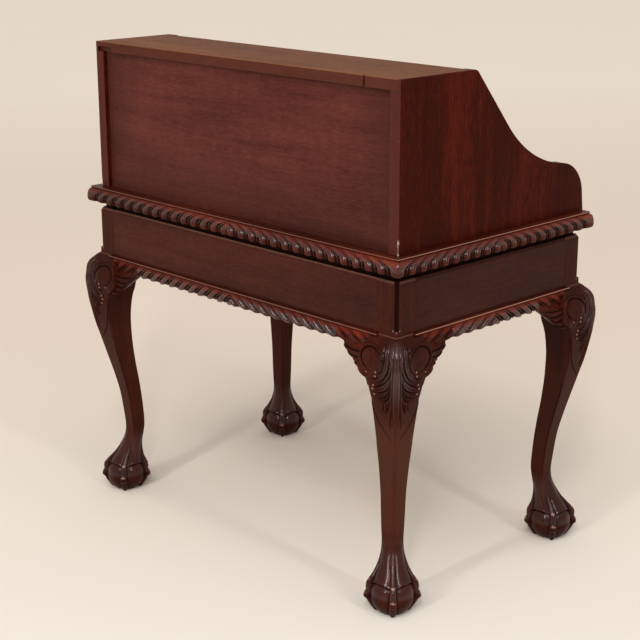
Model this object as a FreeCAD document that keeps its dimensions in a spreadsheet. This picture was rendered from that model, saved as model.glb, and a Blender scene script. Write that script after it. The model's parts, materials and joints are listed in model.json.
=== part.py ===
import FreeCAD, Part
import math
import os
import Sketcher
from FreeCAD import Placement, Rotation, Vector

# A carlton house desk: a table on four cabriole legs, with a gallery across its back and down both sides.
# +X is the sitter's right, -Y is the front, +Z is up. The origin is on the floor under the desk's middle.

# Driving sizes in millimetres, and angles in degrees.
SIZES = {
    # the case: the frieze between four posts
    "case_width": 965,
    "case_depth": 584,
    "rail_rise": 602,
    "rail_height": 117,
    "rail_thick": 25,
    "post_side": 55,
    "post_hollow_radius": 5,
    "post_hollow_stop": 20,
    "front_top_rail_height": 10,
    "front_bottom_rail_height": 14,
    "divider_thick": 18,
    "centre_bay_width": 400,
    "runner_width": 20,
    "guide_height": 34,
    # the legs and the carved blocks beside their knees
    "foot_inset": 27,
    "foot_reach": 57,
    "ball_radius": 45,
    "ball_rise": 41,
    "claw_rise": 122,
    "claw_radius": 9,
    "knee_reach": 30,
    "knee_block_length": 100,
    "knee_block_drop": 86,
    "knee_block_end_drop": 40,
    # the gadrooned moulding under the frieze
    "apron_height": 35,
    "apron_projection": 12,
    "apron_back": 15,
    "apron_fillet": 6,
    "apron_fillet_step": 3,
    # the table top and its gadrooned edge
    "bearer_height": 21,
    "bearer_width": 60,
    "top_thick": 22,
    "top_inset": 10,
    "edge_height": 36,
    "edge_projection": 20,
    "edge_fillet": 5,
    "edge_round_depth": 8,
    "edge_flat_height": 12,
    "leather_thick": 1.2,
    "leather_margin": 26,
    "screw_radius": 2,
    "screw_head_radius": 4,
    "screw_length": 36,
    "screw_inset": 40,
    # the gallery
    "gallery_side_inset": 6,
    "gallery_height": 336,
    "gallery_setback": 8,
    "gallery_depth": 205,
    "gallery_top_thick": 22,
    "panel_thick": 25,
    "panel_front_reach": 9,
    "panel_lap": 6,
    "panel_brow_radius": 16,
    "brow_setback": 6.5,
    "slope_angle": 50,
    "front_lean_angle": 83,
    "sweep_radius": 288,
    "shoulder_radius": 80,
    "front_straight": 44,
    "back_recess": 11,
    "back_thick": 9,
    "back_groove": 5,
    "top_notch_width": 6,
    "top_notch_depth": 7,
    "left_notch_inset": 92,
    "right_lap_length": 58,
    "right_lap_height": 11,
    "front_inset": 3,
    "partition_thick": 10,
    "cupboard_width": 230,
    "shelf_rise": 110,
    "shelf_thick": 8,
    "pigeonhole_board": 6,
    # the wings, which are the lidded compartments at both sides of the writing surface
    "well_width": 620,
    "wing_side_thick": 12,
    "wing_height": 104,
    "wing_board": 10,
    "wing_front_inset": 4,
    "wing_front_radius": 78,
    "hinge_strip_width": 20,
    "lid_front_land": 13,
    "lid_gap": 1,
    # hinges
    "hinge_gap": 1.5,
    "knuckle_radius": 3,
    "hinge_pin_radius": 1.5,
    "running_gap": 0.05,
    "knuckle_gap": 0.4,
    "leaf_thick": 1.2,
    "leaf_length": 36,
    "door_leaf_width": 13,
    "lid_leaf_width": 8.5,
    "hinge_end_gap": 40,
    # the cupboard door
    "door_thick": 16,
    "door_stile_width": 36,
    "door_panel_thick": 8,
    "door_panel_tongue": 6,
    # frieze drawers
    "drawer_gap": 1,
    "drawer_rear_gap": 59,
    "drawer_front_thick": 20,
    "drawer_side_thick": 11,
    "drawer_bottom_thick": 6,
    "drawer_bottom_lift": 6,
    "drawer_groove": 4,
    "drawer_top_drop": 4,
    # small gallery drawers
    "small_drawer_gap": 0.8,
    "small_drawer_rear_gap": 6,
    "small_front_thick": 12,
    "small_side_thick": 6,
    "small_bottom_thick": 4,
    "small_bottom_lift": 3,
    "small_groove": 2,
    "small_top_drop": 3,
    # swinging handles and escutcheons
    "handle_span": 90,
    "handle_stand": 13,
    "handle_offset": 118,
    "handle_ball_radius": 4.6,
    "handle_neck_radius": 3,
    "handle_shank_radius": 2.2,
    "rose_radius": 11,
    "rose_thick": 2.5,
    "nut_radius": 5,
    "nut_thick": 3,
    "bail_radius": 2.4,
    "bail_pin_radius": 1.8,
    "bail_ball_gap": 0.8,
    "bail_drop": 34,
    "bail_neck_radius": 6,
    "bail_corner_radius": 14,
    "escutcheon_radius": 10,
    "escutcheon_thick": 1.5,
    "keyhole_radius": 2.4,
    "keyhole_slot_width": 2.4,
    "keyhole_slot_length": 7,
    # turned brass knobs
    "knob_radius": 8,
    "knob_stand": 15,
    "knob_shank_radius": 2,
    "knob_shank_length": 8,
    "door_knob_inset": 18,
    "lid_knob_inset": 20,
    # one overrun for every cut that has to pass right through
    "overrun": 5,
}

# The cabriole curve, seen square on: reach past the post's outer face as a share of the knee's reach, and
# height as a share of the rail's height above the floor.
OUTER_CURVE_SHARES = (
    (0.0, 1.0), (0.55, 0.977), (1.0, 0.912), (0.94, 0.832), (0.70, 0.757), (0.35, 0.664),
    (-0.05, 0.573), (-0.38, 0.498), (-0.66, 0.424), (-0.83, 0.346), (-0.94, 0.262), (-0.86, 0.205),
    (-0.72, 0.140),
)
# The back of the curve: depth behind the post's outer face as a share of the post's side, and height.
INNER_CURVE_SHARES = (
    (1.0, 0.855), (0.93, 0.827), (0.85, 0.764), (0.84, 0.664), (0.92, 0.548), (1.03, 0.449), (1.11, 0.346),
    (1.13, 0.274), (1.09, 0.231), (1.04, 0.183), (1.0, 0.140),
)

# The ankle's flare over the ball: lag towards the leg as a share of the foot's reach, height as a share of
# the claws' rise, radius as a share of the ball's radius.
ANKLE_SHARES = (
    (0.44, 1.25, 0.34), (0.36, 1.0, 0.52), (0.22, 0.80, 0.76), (0.09, 0.65, 0.93), (0.0, 0.52, 0.97),
)

# The claws: distance from the foot's axis as a share of the foot's reach, lag towards the ankle as a share
# of the foot's reach, height as a share of the claw's rise, thickness as a share of the claw's radius.
FRONT_CLAW_SHARES = (
    (-0.02, 0.0, 0.92, 0.90), (0.24, 0.0, 0.77, 0.92), (0.53, 0.0, 0.64, 1.0), (0.74, 0.0, 0.52, 0.86),
    (0.84, 0.0, 0.37, 1.0), (0.78, 0.0, 0.19, 0.72), (0.64, 0.0, 0.05, 0.33),
)
REAR_CLAW_SHARES = (
    (0.62, 0.0, 1.0, 0.90), (0.60, 0.0, 0.86, 0.92), (0.66, 0.0, 0.70, 1.0), (0.79, 0.0, 0.56, 0.86),
    (0.84, 0.0, 0.37, 1.0), (0.78, 0.0, 0.19, 0.72), (0.64, 0.0, 0.05, 0.33),
)
SIDE_CLAW_SHARES = (
    (0.30, 0.38, 0.96, 0.90), (0.42, 0.24, 0.80, 0.92), (0.62, 0.08, 0.65, 1.0), (0.76, 0.02, 0.52, 0.86),
    (0.84, 0.0, 0.37, 1.0), (0.78, 0.0, 0.19, 0.72), (0.64, 0.0, 0.05, 0.33),
)

# Sections of a knee block along its length: place as a share of its length, then how far its face stands
# out as a share of the way from the moulding's projection to the knee's reach, and how far it hangs down
# as a share of the way from its end drop to its full drop.
KNEE_BLOCK_SHARES = ((0.0, 1.0, 1.0), (0.30, 0.85, 0.62), (0.62, 0.42, 0.26), (1.0, 0.0, 0.0))
KNEE_BLOCK_BROW_SHARE = 0.30

BAIL_HEIGHT_SHARE = 0.60
KNOB_PROFILE_SHARES = ((0.42, 0.0), (0.30, 0.30), (0.38, 0.45), (0.95, 0.62), (1.0, 0.76), (0.72, 0.94))


class Size:
    """A length known both as a number and as the sheet's expression for it."""

    def __init__(self, text, number):
        self.text = text
        self.number = number

    def __add__(self, other):
        other = as_size(other)
        return Size(f"({self.text} + {other.text})", self.number + other.number)

    def __sub__(self, other):
        other = as_size(other)
        return Size(f"({self.text} - {other.text})", self.number - other.number)

    def __mul__(self, other):
        other = as_size(other)
        return Size(f"({self.text} * {other.text})", self.number * other.number)

    def __truediv__(self, other):
        other = as_size(other)
        return Size(f"({self.text} / {other.text})", self.number / other.number)

    def __neg__(self):
        return Size(f"(0 - {self.text})", -self.number)

    def __rmul__(self, other):
        return as_size(other) * self


def as_size(amount):
    """A plain ratio becomes a size, so that both can stand in one sum."""
    return amount if isinstance(amount, Size) else Size(repr(float(amount)), float(amount))


class Sheet:
    """The spreadsheet of driving sizes; each size is an attribute under its alias."""

    def __init__(self, document, sizes):
        self.sheet = document.addObject("Spreadsheet::Sheet", "Sizes")
        for row, (alias, number) in enumerate(sizes.items(), start=1):
            self.sheet.set(f"A{row}", alias.replace("_", " "))
            self.sheet.set(f"B{row}", str(number))
            self.sheet.setAlias(f"B{row}", alias)
            setattr(self, alias, Size(f"Sizes.{alias}", float(number)))


document = FreeCAD.newDocument("carlton_house_desk")
d = Sheet(document, SIZES)
document.recompute()
ZERO = as_size(0)

nodes = {}


def node(name, piece):
    """Give a finished sub-part its label and remember it for export."""
    piece.Label = name
    nodes[name] = piece
    return piece


def bind(piece, prop, amount):
    """Tie one property of a piece to the sheet."""
    piece.setExpression(prop, as_size(amount).text)


def place(piece, x, y, z):
    """Tie a piece's position to the sheet."""
    bind(piece, ".Placement.Base.x", x)
    bind(piece, ".Placement.Base.y", y)
    bind(piece, ".Placement.Base.z", z)


def board(name, x, y, z):
    """A board that fills three spans, each a pair of its low and high end."""
    piece = document.addObject("Part::Box", name)
    for prop, (low, high) in (("Length", x), ("Width", y), ("Height", z)):
        bind(piece, prop, as_size(high) - low)
    place(piece, x[0], y[0], z[0])
    return piece


TURNS = {"x": Rotation(Vector(0, 1, 0), 90), "y": Rotation(Vector(1, 0, 0), -90), "z": Rotation()}


def rod(name, axis, radius, start, length):
    """A round rod that runs from start along +x, +y or +z."""
    piece = document.addObject("Part::Cylinder", name)
    piece.Placement = Placement(Vector(), TURNS[axis])
    bind(piece, "Radius", radius)
    bind(piece, "Height", length)
    place(piece, *start)
    return piece


def ball(name, radius, centre):
    """A round ball."""
    piece = document.addObject("Part::Sphere", name)
    bind(piece, "Radius", radius)
    place(piece, *centre)
    return piece


def joined(name, pieces):
    """Several shapes made one solid."""
    piece = document.addObject("Part::MultiFuse", name)
    piece.Shapes = pieces
    return piece


def cut(name, base, tools):
    """A shape with others taken out of it."""
    piece = document.addObject("Part::Cut", name)
    piece.Base = base
    piece.Tool = tools[0] if len(tools) == 1 else group(name + "_tools", tools)
    return piece


def group(name, pieces):
    """Separate solids kept side by side in one sub-part."""
    piece = document.addObject("Part::Compound", name)
    piece.Links = pieces
    return piece


def across(side, near, far):
    """The span from near to far on the right (+1), or its mirror image on the left (-1)."""
    near, far = as_size(near), as_size(far)
    return (near, far) if side > 0 else (-far, -near)


SIDES = {"left": -1, "right": 1}


def draw(sketch, corners):
    """Draw a closed outline in a sketch, each corner held at its own two coordinates.

    A corner is (u, v), or (u, v, radius, bulge) where the edge that leaves it is an arc. The bulge is +1
    where the arc turns anticlockwise on its way to the next corner and -1 where it turns clockwise."""
    ends = []
    for this, following in zip(corners, corners[1:] + corners[:1]):
        start = Vector(this[0].number, this[1].number, 0)
        finish = Vector(following[0].number, following[1].number, 0)
        if len(this) == 2:
            index = sketch.addGeometry(Part.LineSegment(start, finish), False)
            ends.append((index, 1, 2))
            continue
        radius, bulge = this[2], this[3]
        chord = finish - start
        lift = math.sqrt(radius.number ** 2 - (chord.Length / 2) ** 2)
        normal = Vector(-chord.y, chord.x, 0).normalize()
        centre = (start + finish) * 0.5 + normal * (lift * bulge)
        first, last = (start, finish) if bulge > 0 else (finish, start)
        angles = [math.atan2(p.y - centre.y, p.x - centre.x) for p in (first, last)]
        circle = Part.Circle(centre, Vector(0, 0, 1), radius.number)
        index = sketch.addGeometry(Part.ArcOfCircle(circle, angles[0], angles[1]), False)
        ends.append((index, 1, 2) if bulge > 0 else (index, 2, 1))
        held = sketch.addConstraint(Sketcher.Constraint("Radius", index, radius.number))
        sketch.setExpression(f"Constraints[{held}]", radius.text)
    for number, (index, start_end, finish_end) in enumerate(ends):
        next_index, next_start, _ = ends[(number + 1) % len(ends)]
        sketch.addConstraint(Sketcher.Constraint("Coincident", index, finish_end, next_index, next_start))
        u, v = corners[number][:2]
        for kind, line, amount in (("DistanceX", -2, u), ("DistanceY", -1, v)):
            if abs(amount.number) < 1e-9:
                sketch.addConstraint(Sketcher.Constraint("PointOnObject", index, start_end, line))
                continue
            order = (-1, 1, index, start_end) if amount.number > 0 else (index, start_end, -1, 1)
            distance = amount if amount.number > 0 else -amount
            held = sketch.addConstraint(Sketcher.Constraint(kind, *order, distance.number))
            sketch.setExpression(f"Constraints[{held}]", distance.text)


def sketch_on(body, role, name):
    """An empty sketch on one of the body's own origin planes."""
    sketch = body.newObject("Sketcher::SketchObject", name)
    sketch.AttachmentSupport = [(plane_of(body, role), "")]
    sketch.MapMode = "FlatFace"
    return sketch


def plane_of(body, role):
    """The body's own origin plane with this role."""
    return next(feature for feature in body.Origin.OriginFeatures if feature.Role == role)


def padded(name, role, corners, span):
    """A piece sawn to an outline: sketched on YZ and running along X, or on XZ and running along Y."""
    body = document.addObject("PartDesign::Body", name)
    sketch = sketch_on(body, role, name + "_outline")
    draw(sketch, corners)
    pad = body.newObject("PartDesign::Pad", name + "_pad")
    pad.Profile = sketch
    bind(pad, "Length", as_size(span[1]) - span[0])
    sketch.Visibility = False
    if role == "YZ_Plane":
        place(body, span[0], ZERO, ZERO)
    else:
        place(body, ZERO, span[1], ZERO)
    return body


def turned(name, corners):
    """A piece turned on a lathe: its half outline sketched on XZ and spun about Z."""
    body = document.addObject("PartDesign::Body", name)
    sketch = sketch_on(body, "XZ_Plane", name + "_outline")
    draw(sketch, corners)
    spin = body.newObject("PartDesign::Revolution", name + "_spin")
    spin.Profile = sketch
    spin.ReferenceAxis = (sketch, ["V_Axis"])
    spin.Angle = 360
    sketch.Visibility = False
    return body


def placed(name, pattern, rotation, x, y, z):
    """A copy of a pattern piece, turned and then moved to its place."""
    piece = group(name, [pattern])
    piece.Placement = Placement(Vector(), rotation)
    place(piece, x, y, z)
    return piece


def computed(name, shape, rotation, x, y, z):
    """A piece whose shape is worked out here from the sheet's numbers, then put in its place."""
    piece = document.addObject("Part::Feature", name)
    piece.Shape = shape
    piece.Placement = Placement(Vector(), rotation)
    place(piece, x, y, z)
    return piece


UPRIGHT = Rotation()
FORWARD = Rotation(Vector(1, 0, 0), 90)


def about_z(angle):
    """A turn about the upright axis."""
    return Rotation(Vector(0, 0, 1), angle)


# Levels and planes that many pieces share.
half_width = d.case_width / 2
half_depth = d.case_depth / 2
post_inner_x = half_width - d.post_side
post_inner_y = half_depth - d.post_side
rail_inner_x = half_width - d.rail_thick
rail_inner_y = half_depth - d.rail_thick
rail_top = d.rail_rise + d.rail_height
runner_top = d.rail_rise + d.front_bottom_rail_height
drawer_ceiling = rail_top - d.front_top_rail_height
bearer_top = rail_top + d.bearer_height
table_top_level = bearer_top + d.top_thick
front_plane = -half_depth

gallery_rear = half_depth - d.gallery_setback
gallery_front = gallery_rear - d.gallery_depth
gallery_top_level = table_top_level + d.gallery_height
gallery_ceiling = gallery_top_level - d.gallery_top_thick
panel_outer = half_width - d.gallery_side_inset
panel_inner = panel_outer - d.panel_thick
panel_front = front_plane - d.panel_front_reach
back_rear = gallery_rear - d.back_recess
back_front = back_rear - d.back_thick
partition_front = gallery_front + d.front_inset
cupboard_inner = d.cupboard_width / 2
cupboard_outer = cupboard_inner + d.partition_thick
shelf_under = table_top_level + d.shelf_rise
shelf_top = shelf_under + d.shelf_thick
well_side = d.well_width / 2
wing_top = table_top_level + d.wing_height
wing_under = wing_top - d.wing_board
wing_front = panel_front + d.wing_front_inset
wing_shoulder = wing_front + d.wing_front_radius
wing_spring = wing_top - d.wing_front_radius
lid_front = wing_shoulder + d.lid_front_land
hinge_strip_inner = panel_inner - d.hinge_strip_width


# The legs. A cabriole leg is sawn from a square blank on two faces, so it is what two prisms share.


def curve_through(points):
    """A smooth edge through points."""
    spline = Part.BSplineCurve()
    spline.interpolate(points)
    return spline.toShape()


def leg_shape():
    """One leg in its corner's own axes: the post's outer corner at x = y = 0, the desk towards -x and -y."""
    rise, side, reach = d.rail_rise.number, d.post_side.number, d.knee_reach.number
    outer = [Vector(share * reach, 0, level * rise) for share, level in OUTER_CURVE_SHARES]
    inner = [Vector(-share * side, 0, level * rise) for share, level in INNER_CURVE_SHARES]
    inner_top = Vector(-side, 0, rise)
    edges = [
        curve_through(outer),
        Part.makeLine(outer[-1], inner[-1]),
        curve_through(inner[::-1]),
        Part.makeLine(inner[0], inner_top),
        Part.makeLine(inner_top, outer[0]),
    ]
    face = Part.Face(Part.Wire(edges))
    spread = side + reach + d.overrun.number
    face.translate(Vector(0, spread, 0))
    prism = face.extrude(Vector(0, -(spread + spread), 0))
    cabriole = prism.common(prism.mirror(Vector(), Vector(1, -1, 0)))
    post = Part.makeBox(side, side, d.rail_height.number, Vector(-side, -side, rise))
    stop = d.post_hollow_stop.number
    hollow = Part.makeCylinder(
        d.post_hollow_radius.number, d.rail_height.number - stop - stop, Vector(0, 0, rise + stop)
    )
    leg = cabriole.fuse([post.cut(hollow)]).removeSplitter()
    return leg.fuse([foot_ball(), ankle()] + foot_claws())


def foot_ball():
    """The ball, flat where it stands on the floor."""
    radius, inset, rise = d.ball_radius.number, d.foot_inset.number, d.ball_rise.number
    whole = Part.makeSphere(radius, Vector(-inset, -inset, rise))
    span = radius + radius
    floor = Part.makeBox(span, span, radius, Vector(-inset - radius, -inset - radius, -radius))
    return whole.cut(floor)


def ankle():
    """The ankle: round sections that widen from the line of the leg to cover the top of the ball."""
    ahead = Vector(1, 1, 0).normalize()
    inset, reach = d.foot_inset.number, d.foot_reach.number
    sections = []
    for lag, level, out in ANKLE_SHARES:
        centre = Vector(-inset, -inset, level * d.claw_rise.number) - ahead * (lag * reach)
        circle = Part.makeCircle(out * d.ball_radius.number, centre, Vector(0, 0, 1))
        sections.append(Part.Wire(circle))
    return Part.makeLoft(sections, True)


def foot_claws():
    """Four claws that grip the ball: one ahead, one behind and one at each side of the leg's diagonal."""
    ahead = Vector(1, 1, 0).normalize()
    aside = Vector(1, -1, 0).normalize()
    return [
        claw(ahead, ahead, FRONT_CLAW_SHARES),
        claw(-ahead, ahead, REAR_CLAW_SHARES),
        claw(aside, ahead, SIDE_CLAW_SHARES),
        claw(-aside, ahead, SIDE_CLAW_SHARES),
    ]


def claw(outward, ahead, shares):
    """A claw: round sections of swelling and shrinking thickness, square to the line of its knuckles."""
    inset, reach = d.foot_inset.number, d.foot_reach.number
    centres = [
        Vector(-inset, -inset, 0) + outward * (out * reach) - ahead * (lag * reach)
        + Vector(0, 0, level * d.claw_rise.number)
        for out, lag, level, _ in shares
    ]
    sections = []
    for number, (centre, (_, _, _, thickness)) in enumerate(zip(centres, shares)):
        before = centres[max(number - 1, 0)]
        after = centres[min(number + 1, len(centres) - 1)]
        circle = Part.makeCircle(thickness * d.claw_radius.number, centre, after - before)
        sections.append(Part.Wire(circle))
    return Part.makeLoft(sections, True)


def make_legs():
    """The four legs are the same leg, turned to each corner."""
    shape = leg_shape()
    for name, side, end, angle in LEG_CORNERS:
        corner = (half_width * side, half_depth * end, ZERO)
        node("leg_" + name, computed("leg_" + name, shape, about_z(angle), *corner))


LEG_CORNERS = (
    ("rear_right", 1, 1, 0),
    ("rear_left", -1, 1, 90),
    ("front_left", -1, -1, 180),
    ("front_right", 1, -1, 270),
)


def knee_block_shape():
    """A knee block in the leg's own axes, under the rail that runs along -x, with its face towards +y."""
    rise, projection, back = d.rail_rise.number, d.apron_projection.number, d.rail_thick.number
    full, end = d.knee_block_drop.number, d.knee_block_end_drop.number
    sections = []
    for along, proud, hang in KNEE_BLOCK_SHARES:
        x = -d.post_side.number - along * d.knee_block_length.number
        face = projection + proud * (d.knee_reach.number - projection)
        brow = projection * (1 - proud)
        drop = end + hang * (full - end)
        brow_level = rise - KNEE_BLOCK_BROW_SHARE * drop
        corners = [
            Vector(x, -back, rise), Vector(x, brow, rise), Vector(x, face, brow_level),
            Vector(x, face, rise - drop), Vector(x, -back, rise - drop),
        ]
        sections.append(Part.makePolygon(corners + corners[:1]))
    return Part.makeLoft(sections, True, True)


def make_knee_blocks():
    """Two blocks beside each knee, mirror images across the leg's diagonal."""
    along_x = knee_block_shape()
    along_y = along_x.mirror(Vector(), Vector(1, -1, 0))
    blocks = []
    for name, side, end, angle in LEG_CORNERS:
        corner = (half_width * side, half_depth * end, ZERO)
        for number, shape in enumerate((along_x, along_y), start=1):
            blocks.append(computed(f"knee_block_{name}_{number}", shape, about_z(angle), *corner))
    node("knee_blocks", group("knee_blocks", blocks))


# The frame between the legs.


def make_rails():
    """Rails at the rear and both sides, and two thin ones at the front with the drawers between them."""
    frieze = (d.rail_rise, rail_top)
    node("rear_rail", board("rear_rail", (-post_inner_x, post_inner_x), (rail_inner_y, half_depth), frieze))
    for name, side in SIDES.items():
        thickness = across(side, rail_inner_x, half_width)
        rail = board("side_rail_" + name, thickness, (-post_inner_y, post_inner_y), frieze)
        node("side_rail_" + name, rail)
    front = (front_plane, front_plane + d.rail_thick)
    for name, levels in (("top", (drawer_ceiling, rail_top)), ("bottom", (d.rail_rise, runner_top))):
        rail = board(f"front_{name}_rail", (-post_inner_x, post_inner_x), front, levels)
        node(f"front_{name}_rail", rail)


def make_drawer_supports():
    """Dividers between the drawers, and the runners, guides and kickers that the drawers slide on."""
    centre_side = d.centre_bay_width / 2
    divider_outer = centre_side + d.divider_thick
    inside = (-rail_inner_y, rail_inner_y)
    dividers, strips, blocks = [], [], []
    for name, side in SIDES.items():
        divider = across(side, centre_side, divider_outer)
        clear_height = (runner_top, drawer_ceiling)
        dividers.append(board("divider_" + name, divider, (front_plane, rail_inner_y), clear_height))
        under_divider = across(side, centre_side - d.runner_width, divider_outer + d.runner_width)
        at_post = across(side, post_inner_x - d.runner_width, post_inner_x)
        for place_name, width in (("divider", under_divider), ("post", at_post)):
            stem = f"{place_name}_{name}"
            strips.append(board("runner_" + stem, width, inside, (d.rail_rise, runner_top)))
            strips.append(board("kicker_" + stem, width, inside, (drawer_ceiling, rail_top)))
        beside_post = across(side, post_inner_x, rail_inner_x)
        between_posts = (-post_inner_y, post_inner_y)
        guide_top = d.rail_rise + d.guide_height
        strips.append(board("guide_" + name, beside_post, between_posts, (d.rail_rise, guide_top)))
        for end_name, end in (("front", -1), ("rear", 1)):
            blocks.append(corner_block(f"corner_block_{end_name}_{name}", side, end, guide_top))
    node("drawer_dividers", group("drawer_dividers", dividers))
    node("drawer_runners", group("drawer_runners", strips))
    node("corner_blocks", group("corner_blocks", blocks))


def corner_block(name, side, end, low):
    """A three-sided glue block in the corner between a side rail and a post."""
    body = document.addObject("PartDesign::Body", name)
    sketch = sketch_on(body, "XY_Plane", name + "_outline")
    leg = rail_inner_x - post_inner_x
    draw(sketch, [
        (rail_inner_x * side, post_inner_y * end),
        (post_inner_x * side, post_inner_y * end),
        (rail_inner_x * side, (post_inner_y - leg) * end),
    ])
    pad = body.newObject("PartDesign::Pad", name + "_pad")
    pad.Profile = sketch
    bind(pad, "Length", rail_top - low)
    sketch.Visibility = False
    place(body, ZERO, ZERO, low)
    return body


# The gadrooned mouldings. Each run is shaped for the rear and then turned to its own side of the desk.

RUNS = (("rear", 0), ("left", 90), ("front", 180), ("right", 270))
APRON_ROUND_SHARE = 0.55


def run_of(turn):
    """Half the length of a side of the case, and its distance from the middle."""
    return (half_depth, half_width) if turn % 180 else (half_width, half_depth)


def make_aprons():
    """The moulding under each rail, between the knee blocks: a fillet over a round."""
    low = d.rail_rise - d.apron_height
    fillet = d.rail_rise - d.apron_fillet
    for name, turn in RUNS:
        half_run, face = run_of(turn)
        length = half_run - d.post_side - d.knee_block_length
        front = face + d.apron_projection
        strip = padded("apron_strip_" + name, "YZ_Plane", [
            (face - d.apron_back, low),
            (face - d.apron_back, d.rail_rise),
            (front, d.rail_rise),
            (front, fillet),
            (front - d.apron_fillet_step, fillet, d.apron_height * APRON_ROUND_SHARE, -1),
            (face, low),
        ], (-length, length))
        node("apron_moulding_" + name, placed("apron_" + name, strip, about_z(turn), ZERO, ZERO, ZERO))


def make_edges():
    """The moulding round the table top, mitred at the corners: a fillet over a round over a flat."""
    low = table_top_level - d.edge_height
    fillet = table_top_level - d.edge_fillet
    flat_top = low + d.edge_flat_height
    round_height = fillet - flat_top
    round_depth = d.edge_round_depth
    round_radius = (round_depth * round_depth + round_height * round_height) / (2 * round_depth)
    for name, turn in RUNS:
        half_run, face = run_of(turn)
        back = face - d.top_inset
        front = face + d.edge_projection
        length = half_run + d.edge_projection
        strip = padded("edge_strip_" + name, "YZ_Plane", [
            (back, low),
            (back, table_top_level),
            (front - round_depth, table_top_level),
            (front - round_depth, fillet, round_radius, -1),
            (front, flat_top),
            (front, low),
        ], (-length, length))
        mitred = cut("mitred_edge_" + name, strip, mitre_tools(name, half_run, face, low))
        node("edge_moulding_" + name, placed("edge_" + name, mitred, about_z(turn), ZERO, ZERO, ZERO))


MITRE_SPREAD_SHARE = 1.5


def mitre_tools(name, half_run, face, low):
    """Two blocks, turned by an eighth, that take a strip's ends off along the mitres."""
    start = d.top_inset + d.overrun
    spread = (ZERO, (d.edge_projection + start + d.overrun) * MITRE_SPREAD_SHARE)
    height = (ZERO, d.edge_height + 2 * d.overrun)
    tools = []
    for side_name, side, angle in (("left", -1, 135), ("right", 1, -45)):
        tool = board(f"mitre_{name}_{side_name}", spread, spread, height)
        tool.Placement = Placement(Vector(), about_z(angle))
        place(tool, (half_run - start) * side, face - start, low - d.overrun)
        tools.append(tool)
    return tools


# The table top.

SCREW_PLACE_SHARES = (0.30, 0.65)


def make_table_top():
    """The top board on its four bearers, the screws up through the bearers, and the leather let in flush."""
    edge_x = half_width - d.top_inset
    edge_y = half_depth - d.top_inset
    inner_x = edge_x - d.bearer_width
    inner_y = edge_y - d.bearer_width
    levels = (rail_top, bearer_top)
    screws = make_screws(edge_y - d.screw_inset)
    bearers = []
    for name, end in (("front", -1), ("rear", 1)):
        blank = board("bearer_blank_" + name, (-edge_x, edge_x), across(end, inner_y, edge_y), levels)
        bearers.append(cut("bearer_" + name, blank, screws))
    for name, side in SIDES.items():
        bearers.append(board("bearer_" + name, across(side, inner_x, edge_x), (-inner_y, inner_y), levels))
    node("top_bearers", group("top_bearers", bearers))
    node("top_screws", group("top_screws", screws))

    leather = board(
        "writing_leather",
        (d.leather_margin - well_side, well_side - d.leather_margin),
        (d.leather_margin - edge_y, gallery_front - d.leather_margin),
        (table_top_level - d.leather_thick, table_top_level),
    )
    node("writing_leather", leather)
    blank = board("table_top_blank", (-edge_x, edge_x), (-edge_y, edge_y), (bearer_top, table_top_level))
    node("table_top", cut("table_top", blank, [leather] + screws))


def make_screws(distance):
    """Countersunk screws, heads down and flush with the bearers' undersides."""
    screws = []
    head_height = d.screw_head_radius - d.screw_radius
    for end in (-1, 1):
        for side in (-1, 1):
            for share in SCREW_PLACE_SHARES:
                stem = f"screw_{len(screws) + 1}"
                spot = (half_width * (share * side), distance * end, rail_top)
                head = document.addObject("Part::Cone", stem + "_head")
                bind(head, "Radius1", d.screw_head_radius)
                bind(head, "Radius2", d.screw_radius)
                bind(head, "Height", head_height)
                place(head, *spot)
                shank = rod(stem + "_shank", "z", d.screw_radius, spot, d.screw_length)
                screws.append(joined(stem, [head, shank]))
    return screws


# The gallery.


def heading(angle):
    """The direction down the front of a side panel at this many degrees below the level."""
    return Vector(-math.cos(math.radians(angle)), -math.sin(math.radians(angle)), 0)


def above(angle):
    """The direction square to that heading, on its upper side."""
    return Vector(-math.sin(math.radians(angle)), math.cos(math.radians(angle)), 0)


def sweep_points():
    """Corners of a side panel's outline, front to rear along its top, in the sketch's own numbers.

    The slope below the brow and the front of the shoulder are known lines. The sweep touches the slope and
    the shoulder's circle, so its centre lies where its distance from the shoulder's centre is the sum of
    the two radii, which is a quadratic in the slope's length."""
    slope, lean = d.slope_angle.number, d.front_lean_angle.number
    sweep, shoulder, brow = d.sweep_radius.number, d.shoulder_radius.number, d.panel_brow_radius.number
    foot = Vector(panel_front.number, table_top_level.number, 0)
    shoulder_end = foot - heading(lean) * d.front_straight.number
    shoulder_centre = shoulder_end - above(lean) * shoulder
    brow_start = Vector((gallery_front - d.brow_setback).number, gallery_top_level.number, 0)
    brow_centre = brow_start - Vector(0, brow, 0)
    brow_end = brow_centre + above(slope) * brow
    offset = brow_end + above(slope) * sweep - shoulder_centre
    along = offset.dot(heading(slope))
    slope_length = -along - math.sqrt(along ** 2 - offset.dot(offset) + (sweep + shoulder) ** 2)
    sweep_start = brow_end + heading(slope) * slope_length
    sweep_centre = sweep_start + above(slope) * sweep
    shoulder_start = sweep_centre + (shoulder_centre - sweep_centre) * (sweep / (sweep + shoulder))
    centres = {"brow": brow_centre, "sweep": sweep_centre, "shoulder": shoulder_centre}
    return foot, shoulder_end, shoulder_start, sweep_start, brow_end, brow_start, centres


def arc_about(centre, radius, first, last):
    """An arc that turns anticlockwise from first to last."""
    angles = [math.atan2(point.y - centre.y, point.x - centre.x) for point in (first, last)]
    return Part.ArcOfCircle(Part.Circle(centre, Vector(0, 0, 1), radius), angles[0], angles[1])


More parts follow.
